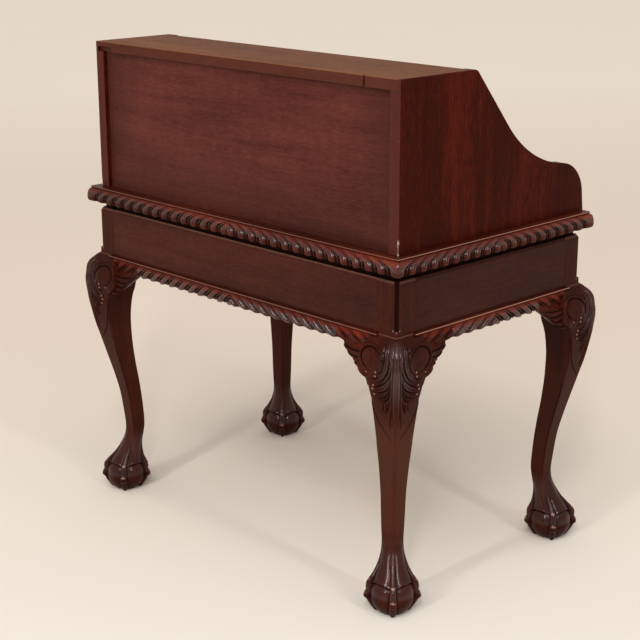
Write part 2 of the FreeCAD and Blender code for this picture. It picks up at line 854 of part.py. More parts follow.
def draw_side_panel(sketch):
    """The swept outline: its lines and arcs touch smoothly, and their sizes are held by constraints."""
    foot, shoulder_end, shoulder_start, sweep_start, brow_end, brow_start, centres = sweep_points()
    rear_top = Vector(gallery_rear.number, gallery_top_level.number, 0)
    rear_foot = Vector(gallery_rear.number, table_top_level.number, 0)
    bottom, rear, top, brow, slope, sweep, shoulder, front = [sketch.addGeometry(edge, False) for edge in (
        Part.LineSegment(foot, rear_foot),
        Part.LineSegment(rear_foot, rear_top),
        Part.LineSegment(rear_top, brow_start),
        arc_about(centres["brow"], d.panel_brow_radius.number, brow_start, brow_end),
        Part.LineSegment(brow_end, sweep_start),
        arc_about(centres["sweep"], d.sweep_radius.number, shoulder_start, sweep_start),
        arc_about(centres["shoulder"], d.shoulder_radius.number, shoulder_start, shoulder_end),
        Part.LineSegment(shoulder_end, foot),
    )]
    rules = [
        ("Coincident", bottom, 2, rear, 1),
        ("Coincident", rear, 2, top, 1), ("Coincident", front, 2, bottom, 1),
        ("Tangent", top, 2, brow, 1), ("Tangent", brow, 2, slope, 1), ("Tangent", slope, 2, sweep, 2),
        ("Tangent", sweep, 1, shoulder, 1), ("Tangent", shoulder, 2, front, 1),
        ("Horizontal", bottom), ("Vertical", rear), ("Horizontal", top),
    ]
    for rule in rules:
        sketch.addConstraint(Sketcher.Constraint(*rule))
    sizes = [
        (("DistanceX", -1, 1, rear, 1), gallery_rear), (("DistanceY", -1, 1, rear, 1), table_top_level),
        (("DistanceY", rear, 1, rear, 2), d.gallery_height),
        (("DistanceX", bottom, 1, bottom, 2), gallery_rear - panel_front),
        (("DistanceX", brow, 1, rear, 2), d.gallery_depth + d.brow_setback),
        (("Radius", brow), d.panel_brow_radius), (("Radius", sweep), d.sweep_radius),
        (("Radius", shoulder), d.shoulder_radius), (("Distance", front), d.front_straight),
    ]
    for rule, amount in sizes:
        held = sketch.addConstraint(Sketcher.Constraint(*rule, amount.number))
        sketch.setExpression(f"Constraints[{held}]", amount.text)
    for edge, angle in ((slope, d.slope_angle), (front, d.front_lean_angle)):
        turn = math.radians(angle.number - 180)
        held = sketch.addConstraint(Sketcher.Constraint("Angle", -1, 1, edge, 1, turn))
        sketch.setExpression(f"Constraints[{held}]", f"({angle.text} - 180) * 1 deg")


def make_side_panels():
    """The swept sides, with a lap for the top board and a groove for the back panel."""
    for name, side in SIDES.items():
        body = document.addObject("PartDesign::Body", "panel_blank_" + name)
        sketch = sketch_on(body, "YZ_Plane", f"panel_{name}_outline")
        draw_side_panel(sketch)
        pad = body.newObject("PartDesign::Pad", f"panel_{name}_pad")
        pad.Profile = sketch
        bind(pad, "Length", d.panel_thick)
        sketch.Visibility = False
        place(body, across(side, panel_inner, panel_outer)[0], ZERO, ZERO)
        lap = board(
            f"panel_{name}_lap",
            across(side, panel_inner - d.overrun, panel_outer - d.panel_lap),
            (gallery_front, gallery_rear + d.overrun),
            (gallery_ceiling, gallery_top_level + d.overrun),
        )
        groove = board(
            f"panel_{name}_groove",
            across(side, panel_inner - d.overrun, panel_inner + d.back_groove),
            (back_front, back_rear),
            (table_top_level - d.overrun, gallery_ceiling),
        )
        node("side_panel_" + name, cut("side_panel_" + name, body, [lap, groove]))


def make_gallery_boards():
    """The top board, notched at its rear corners as the photo shows, and the back panel in its grooves."""
    lap_x = panel_outer - d.panel_lap
    levels = (gallery_ceiling, gallery_top_level)
    blank = board("gallery_top_blank", (-lap_x, lap_x), (gallery_front, gallery_rear), levels)
    notch_depth = (gallery_rear - d.top_notch_depth, gallery_rear + d.overrun)
    notch_start = d.left_notch_inset - panel_outer
    through = (gallery_ceiling - d.overrun, gallery_top_level + d.overrun)
    left_notch = board("left_notch", (notch_start, notch_start + d.top_notch_width), notch_depth, through)
    under_lap = (gallery_ceiling - d.overrun, gallery_top_level - d.right_lap_height)
    right_span = (panel_outer - d.right_lap_length, panel_outer + d.overrun)
    right_notch = board("right_notch", right_span, notch_depth, under_lap)
    node("gallery_top", cut("gallery_top", blank, [left_notch, right_notch]))

    groove_x = panel_inner + d.back_groove
    opening = (table_top_level, gallery_ceiling)
    node("gallery_back", board("gallery_back", (-groove_x, groove_x), (back_front, back_rear), opening))


PIGEONHOLES_A_SIDE = 3


def make_gallery_divisions(door_hinges):
    """Partitions beside the cupboard, shelves over the small drawers, and thin pigeonhole dividers."""
    depth = (partition_front, back_front)
    partitions, shelves = [], []
    bay = (panel_inner - cupboard_outer - d.pigeonhole_board * (PIGEONHOLES_A_SIDE - 1)) / PIGEONHOLES_A_SIDE
    separator_low = table_top_level + (d.shelf_rise - d.pigeonhole_board) / 2
    for name, side in SIDES.items():
        upright = across(side, cupboard_inner, cupboard_outer)
        partition = board("partition_" + name, upright, depth, (table_top_level, gallery_ceiling))
        if name == "left":
            partition = cut("hinged_partition", partition, door_hinges)
        partitions.append(partition)
        for number in range(1, PIGEONHOLES_A_SIDE):
            near = cupboard_outer + bay * number + d.pigeonhole_board * (number - 1)
            thin = across(side, near, near + d.pigeonhole_board)
            set_back = (partition_front + d.front_inset, back_front)
            stem = f"pigeonhole_divider_{name}_{number}"
            partitions.append(board(stem, thin, set_back, (shelf_top, gallery_ceiling)))
        over_drawers = across(side, cupboard_outer, panel_inner)
        shelves.append(board("shelf_" + name, over_drawers, depth, (shelf_under, shelf_top)))
        beside_cupboard = across(side, cupboard_outer, well_side)
        between = (separator_low, separator_low + d.pigeonhole_board)
        shelves.append(board("separator_" + name, beside_cupboard, depth, between))
    node("gallery_partitions", group("gallery_partitions", partitions))
    node("gallery_shelves", group("gallery_shelves", shelves))


# Hinges. Each is modelled about its own upright pin, with its knuckles proud of the face towards -y, the
# fixed leaf on the -x side and the moving leaf on the +x side.


def hinge_patterns(name, leaf_width):
    """The fixed leaf with its pin, the moving leaf, and the recess that lets both into the wood."""
    knuckle = d.leaf_length / 3
    clear = d.knuckle_radius + d.knuckle_gap
    low_x = d.hinge_gap / 2
    leaf_x = (low_x, low_x + d.leaf_thick)
    whole = (ZERO, d.leaf_length)
    plate_y, tongue_y = (clear, leaf_width), (ZERO, clear)
    axis = (ZERO, ZERO, ZERO)

    fixed_x = across(-1, *leaf_x)
    fixed = [board(name + "_fixed_plate", fixed_x, plate_y, whole)]
    for number, start in enumerate((ZERO, 2 * knuckle), start=1):
        levels, end = (start, start + knuckle), (ZERO, ZERO, start)
        fixed.append(board(f"{name}_fixed_tongue_{number}", fixed_x, tongue_y, levels))
        fixed.append(rod(f"{name}_fixed_knuckle_{number}", "z", d.knuckle_radius, end, knuckle))
    fixed.append(rod(name + "_pin", "z", d.hinge_pin_radius, axis, d.leaf_length))

    start, length = knuckle + d.knuckle_gap, knuckle - 2 * d.knuckle_gap
    moving = joined(name + "_moving_blank", [
        board(name + "_moving_plate", leaf_x, plate_y, whole),
        board(name + "_moving_tongue", leaf_x, tongue_y, (start, start + length)),
        rod(name + "_moving_knuckle", "z", d.knuckle_radius, (ZERO, ZERO, start), length),
    ])
    bore = rod(name + "_bore", "z", d.hinge_pin_radius + d.running_gap, axis, d.leaf_length)
    under = (ZERO, ZERO, -d.knuckle_gap)
    recess = joined(name + "_recess", [
        board(name + "_leaf_recess", (-leaf_x[1], leaf_x[1]), (ZERO, leaf_width), whole),
        rod(name + "_knuckle_recess", "z", clear, under, d.leaf_length + 2 * d.knuckle_gap),
    ])
    return joined(name + "_fixed", fixed), cut(name + "_moving", moving, [bore]), recess


def hang(name, patterns, rotation, spots):
    """Copies of a hinge's three patterns at each spot: lists of fixed leaves, moving leaves and recesses."""
    copies = []
    for kind, pattern in zip(("fixed", "moving", "recess"), patterns):
        copies.append([
            placed(f"{name}_{kind}_{number}", pattern, rotation, *spot)
            for number, spot in enumerate(spots, start=1)
        ])
    return copies


# Turned brass knobs.


def knob_pattern():
    """A knob that stands up from z = 0, with its shank below."""
    stand, radius, shank = d.knob_stand, d.knob_radius, d.knob_shank_radius
    corners = [(ZERO, -d.knob_shank_length), (shank, -d.knob_shank_length), (shank, ZERO)]
    corners += [(radius * out, stand * up) for out, up in KNOB_PROFILE_SHARES]
    return turned("knob_pattern", corners + [(ZERO, stand)])


# The wings at both sides of the writing surface.


def make_wings(knob, hinge):
    """An inner side, a rounded front and a hinge strip each, and a lid hinged on the strip."""
    panels, fixed_leaves = [], []
    inner_radius = d.wing_front_radius - d.wing_board
    for name, side in SIDES.items():
        front = padded("wing_front_" + name, "YZ_Plane", [
            (wing_front, table_top_level),
            (wing_front, wing_spring, d.wing_front_radius, -1),
            (wing_shoulder, wing_top),
            (lid_front, wing_top),
            (lid_front, wing_under),
            (wing_shoulder, wing_under, inner_radius, 1),
            (wing_front + d.wing_board, wing_spring),
            (wing_front + d.wing_board, table_top_level),
        ], across(side, well_side, panel_inner))
        inner_side = padded("wing_inner_side_" + name, "YZ_Plane", [
            (wing_front + d.wing_board, table_top_level),
            (wing_front + d.wing_board, wing_spring, inner_radius, -1),
            (wing_shoulder, wing_under),
            (partition_front, wing_under),
            (partition_front, shelf_under),
            (back_front, shelf_under),
            (back_front, table_top_level),
        ], across(side, well_side, well_side + d.wing_side_thick))

        hinge_x = (hinge_strip_inner - d.hinge_gap / 2) * side
        first = lid_front + d.hinge_end_gap
        last = partition_front - d.hinge_end_gap - d.leaf_length
        # A right-hand hinge runs towards -y from its spot, and a left-hand one towards +y.
        starts = [start + d.leaf_length if side > 0 else start for start in (first, last)]
        lying = Rotation(Vector(1, 0, 0), -90)
        rotation = about_z(180) * lying if side > 0 else lying
        spots = [(hinge_x, start, wing_top) for start in starts]
        fixed, moving, recess = hang("lid_hinge_" + name, hinge, rotation, spots)
        fixed_leaves += fixed

        strip_blank = board(
            "hinge_strip_blank_" + name, across(side, hinge_strip_inner, panel_inner),
            (lid_front, partition_front), (wing_under, wing_top),
        )
        panels += [front, inner_side, cut("hinge_strip_" + name, strip_blank, recess)]

        lid_blank = board(
            "lid_blank_" + name, across(side, well_side, hinge_strip_inner - d.hinge_gap),
            (lid_front + d.lid_gap, partition_front - d.lid_gap), (wing_under, wing_top),
        )
        knob_spot = ((well_side + d.lid_knob_inset) * side, (lid_front + partition_front) / 2, wing_top)
        lid_knob = placed("lid_knob_" + name, knob, UPRIGHT, *knob_spot)
        node("lid_" + name, cut("lid_" + name, lid_blank, recess + [lid_knob]))
        node("lid_brasses_" + name, group("lid_brasses_" + name, moving + [lid_knob]))
    node("wing_panels", group("wing_panels", panels))
    return fixed_leaves


# The cupboard door.


def door_hinge_spots():
    """Places of the two door hinges, up the left edge of the door."""
    hinge_x = d.hinge_gap / 2 - cupboard_inner
    low = table_top_level + d.hinge_end_gap
    high = gallery_ceiling - d.hinge_end_gap - d.leaf_length
    return [(hinge_x, partition_front, level) for level in (low, high)]


def make_door(knob, moving, recess):
    """A framed door: two stiles, two rails and a thin panel let into grooves all round."""
    half = cupboard_inner - d.hinge_gap
    low, high = table_top_level + d.hinge_gap, gallery_ceiling - d.hinge_gap
    depth = (partition_front, partition_front + d.door_thick)
    stile_inner = half - d.door_stile_width
    rail_low, rail_high = low + d.door_stile_width, high - d.door_stile_width
    panel_x, tongue = stile_inner + d.door_panel_tongue, d.door_panel_tongue
    panel_face = partition_front + (d.door_thick - d.door_panel_thick) / 2
    panel = board(
        "door_panel", (-panel_x, panel_x), (panel_face, panel_face + d.door_panel_thick),
        (rail_low - tongue, rail_high + tongue),
    )
    knob_spot = (half - d.door_knob_inset, partition_front, (low + high) / 2)
    door_knob = placed("door_knob", knob, FORWARD, *knob_spot)
    frame = []
    for name, side, tools in (("left", -1, [panel] + recess), ("right", 1, [panel, door_knob])):
        blank = board("stile_blank_" + name, across(side, stile_inner, half), depth, (low, high))
        frame.append(cut("door_stile_" + name, blank, tools))
    for name, levels in (("bottom", (low, rail_low)), ("top", (rail_high, high))):
        blank = board("rail_blank_" + name, (-stile_inner, stile_inner), depth, levels)
        frame.append(cut("door_rail_" + name, blank, [panel]))
    node("cupboard_door", group("cupboard_door", frame + [panel]))
    node("door_brasses", group("door_brasses", moving + [door_knob]))


# Drawers.


class DrawerMake:
    """The board thicknesses and gaps of one kind of drawer."""

    def __init__(self, gap, rear_y, front, side, bottom, lift, groove, drop):
        self.gap, self.rear_y, self.front, self.side = gap, rear_y, front, side
        self.bottom, self.lift, self.groove, self.drop = bottom, lift, groove, drop


FRIEZE_DRAWER = DrawerMake(
    d.drawer_gap, rail_inner_y - d.drawer_rear_gap, d.drawer_front_thick, d.drawer_side_thick,
    d.drawer_bottom_thick, d.drawer_bottom_lift, d.drawer_groove, d.drawer_top_drop,
)
SMALL_DRAWER = DrawerMake(
    d.small_drawer_gap, back_front - d.small_drawer_rear_gap, d.small_front_thick, d.small_side_thick,
    d.small_bottom_thick, d.small_bottom_lift, d.small_groove, d.small_top_drop,
)


def drawer_boards(name, make, bay, front_y, levels):
    """A drawer for a bay: its front, and a list of its two grooved sides, its back and its bottom."""
    low_x, high_x = bay[0] + make.gap, bay[1] - make.gap
    low, high = levels[0], levels[1] - make.gap
    behind_front, rear = front_y + make.front, make.rear_y
    side_top = high - make.drop
    bottom_levels = (low + make.lift, low + make.lift + make.bottom)
    front = board(name + "_front_blank", (low_x, high_x), (front_y, behind_front), (low + make.gap, high))
    bottom_x = (low_x + make.side - make.groove, high_x - make.side + make.groove)
    bottom = board(name + "_bottom", bottom_x, (behind_front, rear), bottom_levels)
    sides = []
    for side_name, span in (("left", (low_x, low_x + make.side)), ("right", (high_x - make.side, high_x))):
        blank = board(f"{name}_{side_name}_side_blank", span, (behind_front, rear), (low, side_top))
        sides.append(cut(f"{name}_{side_name}_side", blank, [bottom]))
    back_x = (low_x + make.side, high_x - make.side)
    back = board(name + "_back", back_x, (rear - make.side, rear), (bottom_levels[1], side_top))
    return front, sides + [back, bottom]


def make_frieze_drawers(bail):
    """Three drawers between the legs, with swinging handles and an escutcheon each."""
    centre_side = d.centre_bay_width / 2
    divider_outer = centre_side + d.divider_thick
    levels = (runner_top, drawer_ceiling)
    handle_level = runner_top + (drawer_ceiling - runner_top) * BAIL_HEIGHT_SHARE
    side_middle = (post_inner_x + divider_outer) / 2
    centre_handles = [("centre_bail_left", -d.handle_offset), ("centre_bail_right", d.handle_offset)]
    bays = {
        "left": (across(-1, divider_outer, post_inner_x), [("left_bail", -side_middle)]),
        "centre": ((-centre_side, centre_side), centre_handles),
        "right": (across(1, divider_outer, post_inner_x), [("right_bail", side_middle)]),
    }
    for name, (bay, handles) in bays.items():
        stem = name + "_drawer"
        blank, boards = drawer_boards(stem, FRIEZE_DRAWER, bay, front_plane, levels)
        middle = (bay[0] + bay[1]) / 2
        escutcheon, keyhole = make_escutcheon(stem, middle, levels)
        plates, shanks = [escutcheon], []
        for handle_name, handle_x in handles:
            pieces, own_shanks = handle_posts(handle_name, handle_x, handle_level)
            plates += pieces
            shanks += own_shanks
            hung = placed(handle_name, bail, UPRIGHT, handle_x, front_plane - d.handle_stand, handle_level)
            node(handle_name, hung)
        node(stem + "_front", cut(stem + "_front", blank, shanks + [keyhole]))
        node(stem + "_box", group(stem + "_box", boards))
        node(stem + "_plates", group(stem + "_plates", plates))


def handle_posts(name, handle_x, level):
    """Two posts through the drawer's front, each with a ball for the bail's pin, a rose and a nut."""
    pieces, shanks = [], []
    ball_y = front_plane - d.handle_stand
    rose_front = front_plane - d.rose_thick
    nut_y = front_plane + d.drawer_front_thick
    for end_name, end in SIDES.items():
        stem = f"{name}_{end_name}"
        post_x = handle_x + d.handle_span / 2 * end
        centre, rose_centre = (post_x, ball_y, level), (post_x, rose_front, level)
        neck = rod(stem + "_neck", "y", d.handle_neck_radius, centre, rose_front - ball_y)
        through = nut_y + d.nut_thick - rose_front
        shank = rod(stem + "_shank", "y", d.handle_shank_radius, rose_centre, through)
        end_ball = ball(stem + "_ball", d.handle_ball_radius, centre)
        post = joined(stem + "_post_blank", [end_ball, neck, shank])
        bore_reach = d.handle_ball_radius + d.overrun
        bore_start = (post_x - bore_reach, ball_y, level)
        bore = rod(stem + "_bore", "x", d.bail_pin_radius + d.running_gap, bore_start, 2 * bore_reach)
        rose_blank = rod(stem + "_rose_blank", "y", d.rose_radius, rose_centre, d.rose_thick)
        nut_blank = rod(stem + "_nut_blank", "y", d.nut_radius, (post_x, nut_y, level), d.nut_thick)
        pieces += [
            cut(stem + "_post", post, [bore]),
            cut(stem + "_rose", rose_blank, [shank]),
            cut(stem + "_nut", nut_blank, [shank]),
        ]
        shanks.append(shank)
    return pieces, shanks


ESCUTCHEON_HEIGHT_SHARE = 0.76


def make_escutcheon(stem, middle, levels):
    """A round plate at the keyhole, and the keyhole's shape for cutting plate and drawer front."""
    level = levels[0] + (levels[1] - levels[0]) * ESCUTCHEON_HEIGHT_SHARE
    face = front_plane - d.escutcheon_thick
    depth = d.escutcheon_thick + d.drawer_front_thick + 2 * d.overrun
    start = face - d.overrun
    slot_half = d.keyhole_slot_width / 2
    slot_x, slot_z = (middle - slot_half, middle + slot_half), (level - d.keyhole_slot_length, level)
    keyhole = joined(stem + "_keyhole", [
        rod(stem + "_keyhole_round", "y", d.keyhole_radius, (middle, start, level), depth),
        board(stem + "_keyhole_slot", slot_x, (start, start + depth), slot_z),
    ])
    centre = (middle, face, level)
    blank = rod(stem + "_escutcheon_blank", "y", d.escutcheon_radius, centre, d.escutcheon_thick)
    return cut(stem + "_escutcheon", blank, [keyhole]), keyhole


def bail_pattern():
    """A bail about the middle of its pins: in along x, down round two bends, across, and up again."""
    half, ball_clear = d.handle_span.number / 2, (d.handle_ball_radius + d.bail_ball_gap).number
    neck, corner, drop = d.bail_neck_radius.number, d.bail_corner_radius.number, d.bail_drop.number
    start_x = half - ball_clear
    lead = d.bail_radius.number
    neck_centre = Vector(start_x - lead, 0, -neck)
    limb_x = start_x - lead - neck
    corner_centre = Vector(limb_x - corner, 0, corner - drop)
    cos_half = math.cos(math.radians(45))
    right = [
        Part.makeLine(Vector(start_x, 0, 0), Vector(start_x - lead, 0, 0)),
        Part.Arc(
            Vector(start_x - lead, 0, 0),
            neck_centre + Vector(-neck * cos_half, 0, neck * cos_half),
            Vector(limb_x, 0, -neck),
        ).toShape(),
        Part.makeLine(Vector(limb_x, 0, -neck), Vector(limb_x, 0, corner - drop)),
        Part.Arc(
            Vector(limb_x, 0, corner - drop),
            corner_centre + Vector(corner * cos_half, 0, -corner * cos_half),
            Vector(limb_x - corner, 0, -drop),
        ).toShape(),
        Part.makeLine(Vector(limb_x - corner, 0, -drop), Vector(0, 0, -drop)),
    ]
    section = Part.Wire(Part.makeCircle(d.bail_radius.number, Vector(start_x, 0, 0), Vector(1, 0, 0)))
    half_bail = Part.Wire(right).makePipeShell([section], True, False)
    pin_length = ball_clear + d.handle_ball_radius.number + d.bail_ball_gap.number
    pin = Part.makeCylinder(d.bail_pin_radius.number, pin_length, Vector(start_x, 0, 0), Vector(1, 0, 0))
    right_half = half_bail.fuse(pin)
    whole = right_half.fuse(right_half.mirror(Vector(), Vector(1, 0, 0))).removeSplitter()
    return computed("bail_pattern", whole, UPRIGHT, ZERO, ZERO, ZERO)


def make_small_drawers(knob):
    """Two drawers one over the other at each side of the cupboard, with a knob each."""
    separator_low = table_top_level + (d.shelf_rise - d.pigeonhole_board) / 2
    tiers = {
        "lower": (table_top_level, separator_low),
        "upper": (separator_low + d.pigeonhole_board, shelf_under),
    }
    for name, side in SIDES.items():
        bay = across(side, cupboard_outer, well_side)
        for tier, levels in tiers.items():
            stem = f"small_drawer_{name}_{tier}"
            blank, boards = drawer_boards(stem, SMALL_DRAWER, bay, partition_front, levels)
            spot = ((bay[0] + bay[1]) / 2, partition_front, (levels[0] + levels[1]) / 2)
            own_knob = placed(f"small_knob_{name}_{tier}", knob, FORWARD, *spot)
            node(stem, group(stem, [cut(stem + "_front", blank, [own_knob])] + boards))
            node(f"small_knob_{name}_{tier}", own_knob)


def build():
    """Make every sub-part."""
    knob = knob_pattern()
    door_hinge = hinge_patterns("door_hinge", d.door_leaf_width)
    lid_hinge = hinge_patterns("lid_hinge", d.lid_leaf_width)
    make_legs()
    make_knee_blocks()
    make_rails()
    make_drawer_supports()
    make_aprons()
    make_edges()
    make_table_top()
    make_side_panels()
    make_gallery_boards()
    fixed, moving, recess = hang("door_hinge_at", door_hinge, UPRIGHT, door_hinge_spots())
    make_gallery_divisions(recess)
    make_door(knob, moving, recess)
    fixed_leaves = fixed + make_wings(knob, lid_hinge)
    node("hinge_leaves", group("hinge_leaves", fixed_leaves))
    make_frieze_drawers(bail_pattern())
    make_small_drawers(knob)


def faults():
    """Every object that failed, and every sub-part whose shape can't be used."""
    failed = [thing.Name for thing in document.Objects if {"Invalid", "Error"} & set(thing.State)]
    unusable = [name for name, piece in nodes.items() if piece.Shape.isNull() or not piece.Shape.isValid()]
    return failed + unusable


def export():
    """Write each sub-part to its own file."""
    os.makedirs("parts", exist_ok=True)
    for name, piece in nodes.items():
        piece.Shape.exportStep(f"parts/{name}.step")
        print(f"{name}: {len(piece.Shape.Solids)} solids, {piece.Shape.Volume / 1000:.1f} cm3")


build()
document.recompute()
problems = faults()
if problems:
    raise RuntimeError("these objects failed: " + ", ".join(problems))
export()
box = Part.makeCompound([piece.Shape for piece in nodes.values()]).BoundBox
print(f"{len(nodes)} sub-parts, {box.XLength:.1f} by {box.YLength:.1f} by {box.ZLength:.1f} mm")
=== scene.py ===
# %% [markdown]
# # A Carlton House desk in carved mahogany
#
# The desk is a writing table on four claw-and-ball legs, with a raised gallery round three sides of its
# top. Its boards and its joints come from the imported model, already in place and in metres: x runs to the
# sitter's right, y to the back, z up, and the floor is at zero. This notebook adds what a carver, a
# polisher and a photographer add: rounded edges, gadroon mouldings, carved knees, claw feet, finishes and
# lights.

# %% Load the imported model
import json
import math

import bmesh
import bpy
import numpy as np
from mathutils import Matrix, Vector


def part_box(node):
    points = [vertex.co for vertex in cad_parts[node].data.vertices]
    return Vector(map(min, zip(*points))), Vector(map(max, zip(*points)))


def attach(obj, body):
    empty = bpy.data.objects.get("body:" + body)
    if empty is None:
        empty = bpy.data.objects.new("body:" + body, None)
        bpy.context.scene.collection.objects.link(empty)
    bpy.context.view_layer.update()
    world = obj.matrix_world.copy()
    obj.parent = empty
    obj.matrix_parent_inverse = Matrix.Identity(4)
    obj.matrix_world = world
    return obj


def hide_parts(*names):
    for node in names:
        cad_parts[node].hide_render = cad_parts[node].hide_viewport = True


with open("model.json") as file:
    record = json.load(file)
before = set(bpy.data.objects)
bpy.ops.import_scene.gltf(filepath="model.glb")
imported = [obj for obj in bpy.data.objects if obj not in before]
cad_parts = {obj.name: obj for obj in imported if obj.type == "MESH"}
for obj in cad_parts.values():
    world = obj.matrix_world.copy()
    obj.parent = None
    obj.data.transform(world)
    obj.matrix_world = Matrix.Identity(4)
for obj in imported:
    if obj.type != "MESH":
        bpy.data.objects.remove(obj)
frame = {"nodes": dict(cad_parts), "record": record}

scene = bpy.context.scene
nodes = frame["nodes"]
body_of = {name: body for body, names in frame["record"]["behaviour"]["bodies"].items() for name in names}
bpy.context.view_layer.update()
MM = 0.001


def node_box(name):
    """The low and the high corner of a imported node's box, in metres."""
    return [np.array(corner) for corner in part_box(name)]


def corner_mm(name, end):
    """The low corner (0) or the high corner (1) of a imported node's box, in millimetres."""
    return [round(value / MM, 3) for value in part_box(name)[end]]


# %% [markdown]
# ## The camera
#
# A camera is a place, a direction and a focal length. The picture shows the desk from behind, over its
# left-hand corner, from a little above the top and about 3.4 metres from its middle, so the lens is a short
# telephoto. The three directions of the camera are worked out from its compass angle, its tilt and its
# roll, and go into one matrix. That is more direct than turning the camera by hand and it can be checked.

# %% Camera
CAMERA_PLACE = np.array((-2341.5, 2287.0, 1456.0)) * MM
COMPASS, TILT, ROLL = math.radians(226.083), math.radians(16.708), math.radians(-0.107)
FOCAL_PIXELS, PICTURE_PIXELS = 1475.5, 640
SENSOR = 36.0
SIGHT = 200

back = np.array((math.sin(COMPASS) * math.cos(TILT), -math.cos(COMPASS) * math.cos(TILT), math.sin(TILT)))
level_right = np.cross((0, 0, 1), back)
level_right /= np.linalg.norm(level_right)
level_up = np.cross(back, level_right)
right = math.cos(ROLL) * level_right + math.sin(ROLL) * level_up
up = math.cos(ROLL) * level_up - math.sin(ROLL) * level_right
view_matrix = np.eye(4)
view_matrix[:3] = np.stack([right, up, back, CAMERA_PLACE], axis=1)

lens = bpy.data.cameras.new("studio_camera")
lens.sensor_width = SENSOR
lens.lens = SENSOR * (FOCAL_PIXELS / PICTURE_PIXELS)
lens.clip_end = SIGHT
camera = bpy.data.objects.new("studio_camera", lens)
camera.matrix_world = Matrix(view_matrix.tolist())
scene.collection.objects.link(camera)
scene.camera = camera
print("lens", round(lens.lens, 1), "mm")

# %% [markdown]
# ## Shader maths
#
# A finish is a small network of nodes. Drawing dozens of nodes by hand is slow and hard to read, so a sum
# such as `grain * 0.6 + pores` is written as it stands: the class below holds one output of a node, and
# each sign adds a Math node. Every other node comes from the one method `node`, with its settings first and
# its sockets after. Colours are mixed with Mix nodes, since Math nodes know only single numbers.

# %% Sums on sockets
class Quantity:
    """One output socket. Each arithmetic sign adds Math nodes and gives the last one's output back."""

    def __init__(self, finish, socket):
        self.finish, self.socket = finish, socket

    def maths(self, operation, *others, clamp=False):
        settings = {"operation": operation, "use_clamp": clamp}
        return self.finish.node("ShaderNodeMath", settings, dict(enumerate((self, *others))))

    def __add__(self, other):
        return self.maths("ADD", other)

    def __mul__(self, other):
        return self.maths("MULTIPLY", other)

    def __sub__(self, other):
        return self.maths("SUBTRACT", other)

    def __rsub__(self, other):
        return (self * -1.0) + other

    def __truediv__(self, other):
        return self.maths("DIVIDE", other)

    def __rtruediv__(self, other):
        return self.maths("POWER", -1.0) * other

    def __pow__(self, other):
        return self.maths("POWER", other)

    __radd__, __rmul__ = __add__, __mul__

    def least(self, other):
        return self.maths("MINIMUM", other)

    def most(self, other):
        return self.maths("MAXIMUM", other)

    def size(self):
        return self.maths("ABSOLUTE")

    def ramp(self, low, high):
        """0 below low, 1 above high, and a soft S between them."""
        settings = {"interpolation_type": "SMOOTHSTEP"}
        return self.finish.node("ShaderNodeMapRange", settings, {0: self, 1: low, 2: high, 3: 0.0, 4: 1.0})

    def between(self, low, full, last, high):
        """1 from full to last, 0 below low and above high, and a soft S on both sides."""
        return self.ramp(low, full) * (1.0 - self.ramp(last, high))


class Finish:
    """A material with one principled shader and the object's own coordinates."""

    def __init__(self, name, **constants):
        self.material = bpy.data.materials.new(name)
        self.material.use_nodes = True
        self.tree = self.material.node_tree
        self.tree.nodes.clear()
        self.shader = self.tree.nodes.new("ShaderNodeBsdfPrincipled")
        output = self.tree.nodes.new("ShaderNodeOutputMaterial")
        self.tree.links.new(self.shader.outputs[0], output.inputs[0])
        for socket, value in constants.items():
            self.shader.inputs[socket.replace("_", " ")].default_value = value
        self.place = self.node("ShaderNodeTexCoord", {}, {}, out="Object")
        self.axes = [self.node("ShaderNodeSeparateXYZ", {}, {0: self.place}, out=axis) for axis in range(3)]
        self.x, self.y, self.z = self.axes

    def node(self, kind, settings, sockets, out=0):
        """Adds one node: its settings are set first, then its sockets are given values or links."""
        made = self.tree.nodes.new(kind)
        for setting, value in settings.items():
            if setting == "stops":
                for number, (place, colour) in enumerate(value):
                    stops = made.color_ramp.elements
                    stop = stops[number] if number < len(stops) else stops.new(place)
                    stop.position, stop.color = place, (*colour, 1.0)
            else:
                setattr(made, setting, value)
        for socket, value in sockets.items():
            if isinstance(value, Quantity):
                self.tree.links.new(value.socket, made.inputs[socket])
            else:
                made.inputs[socket].default_value = value
        return Quantity(self, made.outputs[out])

    def vector(self, operation, first, second):
        """Two sets of three numbers, added or multiplied one by one."""
        return self.node("ShaderNodeVectorMath", {"operation": operation}, {0: first, 1: second})

    def noise(self, scales, detail=3.0, rough=0.55, shift=0.0, distort=0.0):
        """Soft noise from 0 to 1 with its own number of waves to the metre along x, y and z."""
        moved = self.vector("ADD", self.vector("MULTIPLY", self.place, scales), (shift,) * 3)
        sockets = {"Scale": 1.0, "Detail": detail, "Roughness": rough, "Distortion": distort}
        return self.node("ShaderNodeTexNoise", {}, {"Vector": moved, **sockets})

    def mixed(self, share, first, second, kind="MIX"):
        """A colour part of the way from first to second, or to the two multiplied."""
        first, second = ((*c, 1.0) if isinstance(c, tuple) else c for c in (first, second))
        settings = {"data_type": "RGBA", "blend_type": kind, "clamp_factor": True}
        return self.node("ShaderNodeMix", settings, {0: share, 6: first, 7: second}, out=2)

    def attribute(self, name):
        """The number that a mesh keeps for each of its corners under this name."""
        return self.node("ShaderNodeAttribute", {"attribute_name": name}, {}, out="Fac")

    def bump(self, height, distance):
        """A surface direction leant by a height, which counts in the given distance."""
        return self.node("ShaderNodeBump", {}, {"Height": height, "Distance": distance, "Strength": 1.0})

    def set(self, **links):
        """Links the shader's sockets and gives the finished material back."""
        for socket, value in links.items():
            self.tree.links.new(value.socket, self.shader.inputs[socket.replace("_", " ")])
        return self.material


